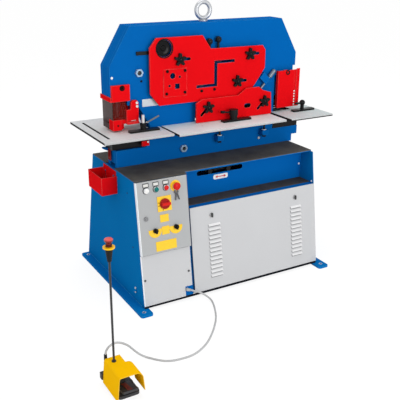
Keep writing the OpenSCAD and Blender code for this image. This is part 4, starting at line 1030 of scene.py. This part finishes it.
# Grey strips under the louvres' hoods: painted shade under their lips
louvres = {
    "left": (-0.161, 0.396), "width": 0.075, "rows": 13, "first": 0.095, "pitch": 0.024, "drop": 0.0035,
    "size": (0.073, 0.005), "corner": 0.002, "thick": 0.0003,
}
for column, x in enumerate(louvres["left"]):
    for row in range(louvres["rows"]):
        z = louvres["first"] + row * louvres["pitch"] - louvres["drop"]
        shadowStripShape = plate(louvres, onFront(x + louvres["width"] / 2, z, panelFace), frontNormal)
        gridMesh(f"louvreShadowStrip{column}_{row}", shadowStripShape, underHoodShadePaint, "machine")

# Blue flange of the cabinet in the gap between the two lower front panels, painted dark as shade in the gap
flange = {
    "size": (0.0125, 0.470), "corner": 0.001, "thick": 0.0015, "centre": onFront(-0.2745, 0.265, -0.002),
    "normal": frontNormal,
}
shadedFlangePaint = enamel("shadedFlangePaint", linear(14, 52, 92), linear(10, 34, 64), tone["blue"])
sheet("panelFlange", flange, shadedFlangePaint)

# Ledge under the outlet of the flat shear at the back, dark as painted shade in the outlet
outLedge = {
    "size": (0.506, 0.072), "corner": 0.002, "thick": 0.0018, "centre": (0.173, 0.1205, 0.8878),
    "normal": upWay,
}
sheet("outLedge", outLedge, shadowSheetPaint)

# Dark strip that fills the gap under the front panels: painted shadow under the cabinet
underPanelShadow = {
    "size": (1.152, 0.013), "corner": 0.002, "thick": 0.0015, "centre": onFront(0, 0.0185, 0),
    "normal": frontNormal,
}
sheet("panelGapShadow", underPanelShadow, shadowSheetPaint)

# Rings, and caps of the lamp and the buttons
deviceRings = {
    "deviceRing": (ringProfile(inner=0.0153, outer=0.0182, thick=0.0016), [
        onDoor("lamp", 0), onDoor("green", 0), onDoor("red", 0),
    ]),
}
turned(deviceRings, screwPaint, frontNormal, "control_door")
lampLens = {"profile": domeHead(radius=0.0112, height=0.0045), "centre": onDoor("lamp", 0.011)}
spin("lampLens", lampLens["profile"], lampLens["centre"], frontNormal, whitePaint,
     "control_door")
buttonCap = {"profile": domeHead(radius=0.0112, height=0.002), "lift": 0.012}
for device in ("green", "red"):
    button = device + "_button"
    slot = device + "_plastic"
    centre = onDoor(device, buttonCap["lift"])
    spin(button + "Cap", buttonCap["profile"], centre, frontNormal, paints[slot], button)
stopCap = {"profile": domeHead(radius=0.0138, height=0.0022), "centre": onDoor("stop", 0.029)}
spin("doorStopCap", stopCap["profile"], stopCap["centre"], frontNormal, paints["red_plastic"],
     "door_stop_button")
footCap = {"profile": domeHead(radius=0.0150, height=0.0009), "centre": (-0.970, -0.898, 0.711)}
spin("footStopCap", footCap["profile"], footCap["centre"], upWay, finishOf["foot_button"],
     "foot_button")

# Worn strip on the pedal
treadStrip = {
    "size": (0.022, 0.084), "corner": 0.003, "thick": 0.0015, "centre": (-0.947, -0.974, 0.040),
    "normal": (0, 0.2425, 0.970),
}
treadPaint = plastic("treadStrip", linear(126, 60, 48), 0.6, linear(84, 40, 34), linear(150, 96, 84))
sheet("treadStrip", treadStrip, treadPaint, "foot_pedal")

# Two keys on a loop under the stop button
keyLoop = {
    "radius": 0.018, "wire": 0.0009, "drop": 0.0035, "lift": doorFace + 0.0075, "sides": 40,
    "wireSides": 12,
}
loopTurn = np.linspace(0, 2 * np.pi, keyLoop["wireSides"], endpoint=False)
loopAcross = keyLoop["radius"] + keyLoop["wire"] * np.cos(loopTurn)
loopProfile = np.stack([loopAcross, keyLoop["wire"] * np.sin(loopTurn)], 1)
loopProfile = np.vstack([loopProfile, loopProfile[:1]])
loopCentre = onFront(deviceX["stop"], deviceRow - keyLoop["drop"], keyLoop["lift"])
spin("keyLoop", loopProfile, loopCentre, frontNormal, brightScrew, "control_door",
     keyLoop["sides"])
keyBlade = {"size": (0.007, 0.036), "corner": 0.001, "thick": 0.002, "lap": 0.001}
keyBow = {
    "inner": 0.0055, "outer": 0.0115, "thick": 0.002, "hang": 0.0085, "step": 0.0022, "turns": (-0.1, 0.28),
}
bowProfile = ringProfile(keyBow["inner"], keyBow["outer"], keyBow["thick"])
hangPoint = np.array([deviceX["stop"], deviceRow - keyLoop["drop"] - keyLoop["radius"]])
for number, lean in enumerate(keyBow["turns"]):
    away = np.array([math.sin(lean), -math.cos(lean)])
    bowAt = hangPoint + keyBow["hang"] * away
    bladeAt = bowAt + (keyBow["outer"] - keyBlade["lap"] + keyBlade["size"][1] / 2) * away
    lift = keyLoop["lift"] + keyBow["step"] * (number - 1)
    bowCentre = onFront(*bowAt, lift)
    spin(f"keyBow{number}", bowProfile, bowCentre, frontNormal, darkSteel, "control_door")
    bladeShape = plate(keyBlade, onFront(*bladeAt, lift), frontNormal, lean)
    gridMesh(f"keyBlade{number}", bladeShape, darkSteel, "control_door")

# Marks round the main switch
switchTick = {
    "size": (0.009, 0.003), "corner": 0.0005, "thick": 0.0006, "x": -0.423, "z": 0.562, "reach": 0.0335,
    "lift": doorFace + 0.004, "turns": (2.9, 3.4, 4.4),
}
for number, angle in enumerate(switchTick["turns"]):
    x = switchTick["x"] + switchTick["reach"] * math.cos(angle)
    z = switchTick["z"] + switchTick["reach"] * math.sin(angle)
    tickShape = plate(switchTick, onFront(x, z, switchTick["lift"]), frontNormal, angle)
    gridMesh(f"switchTick{number}", tickShape, screwPaint, "control_door")
print("stage: detail pieces")


lights = {
    "keyLight": {"place": (0.6, -5.4, 1.9), "target": (0, 0, 0.7), "size": 3.0, "power": 106},
    "fillLight": {"place": (-4.6, -1.8, 1.9), "target": (0, 0, 0.6), "size": 3.0, "power": 17},
    "topLight": {"place": (0, 0.4, 4.6), "target": (0, 0, 0), "size": 3.0, "power": 42},
}
for name, settings in lights.items():
    lamp = bpy.data.lights.new(name, "AREA")
    lamp.shape = "DISK"
    lamp.size = settings["size"]
    lamp.energy = settings["power"]
    holder = bpy.data.objects.new(name, lamp)
    holder.location = settings["place"]
    aim = Vector(settings["target"]) - Vector(settings["place"])
    holder.rotation_euler = aim.to_track_quat("-Z", "Y").to_euler()
    scene.collection.objects.link(holder)


studio = {
    "white": (1, 1, 1, 1), "sky": 0.68, "seenSky": 1.0, "floorSize": 60, "floorShade": (0.9, 0.9, 0.9, 1),
    "floorRoughness": 0.9, "floorGlow": 1.12, "floorShare": 0.75,
}
world = bpy.data.worlds.new("studio")
world.use_nodes = True
scene.world = world
sky = Nodes(world.node_tree)
litSky = sky.node("ShaderNodeBackground", {"Color": studio["white"], "Strength": studio["sky"]})
seenSky = sky.node("ShaderNodeBackground", {"Color": studio["white"], "Strength": studio["seenSky"]})
skyMix = sky.node("ShaderNodeMixShader", {0: sky.seen(), 1: litSky, 2: seenSky})
sky.fill(sky.tree.nodes["World Output"], {"Surface": skyMix})

reach = studio["floorSize"]
floorCorners = [(-reach, -reach, 0), (reach, -reach, 0), (reach, reach, 0), (-reach, reach, 0)]
floorMesh = bpy.data.meshes.new("floor")
floorMesh.from_pydata(floorCorners, [], [(0, 1, 2, 3)])
floor = bpy.data.objects.new("floor", floorMesh)
scene.collection.objects.link(floor)
floorPaint = Paint("floorPaint")
floorPaint.put({"Base Color": studio["floorShade"], "Roughness": studio["floorRoughness"]})
floorPaint.put({"Specular IOR Level": 0.0})
litFloor = Value(floorPaint, floorPaint.shader.outputs[0])
glow = floorPaint.node("ShaderNodeEmission", {"Color": studio["white"], "Strength": studio["floorGlow"]})
glowShare = floorPaint.seen() * studio["floorShare"]
floorMix = floorPaint.node("ShaderNodeMixShader", {0: glowShare, 1: litFloor, 2: glow})
floorPaint.fill(floorPaint.tree.nodes["Material Output"], {"Surface": floorMix})
floorMesh.materials.append(floorPaint.material)

scene.view_settings.view_transform = "Standard"
print("stage: lights and floor")
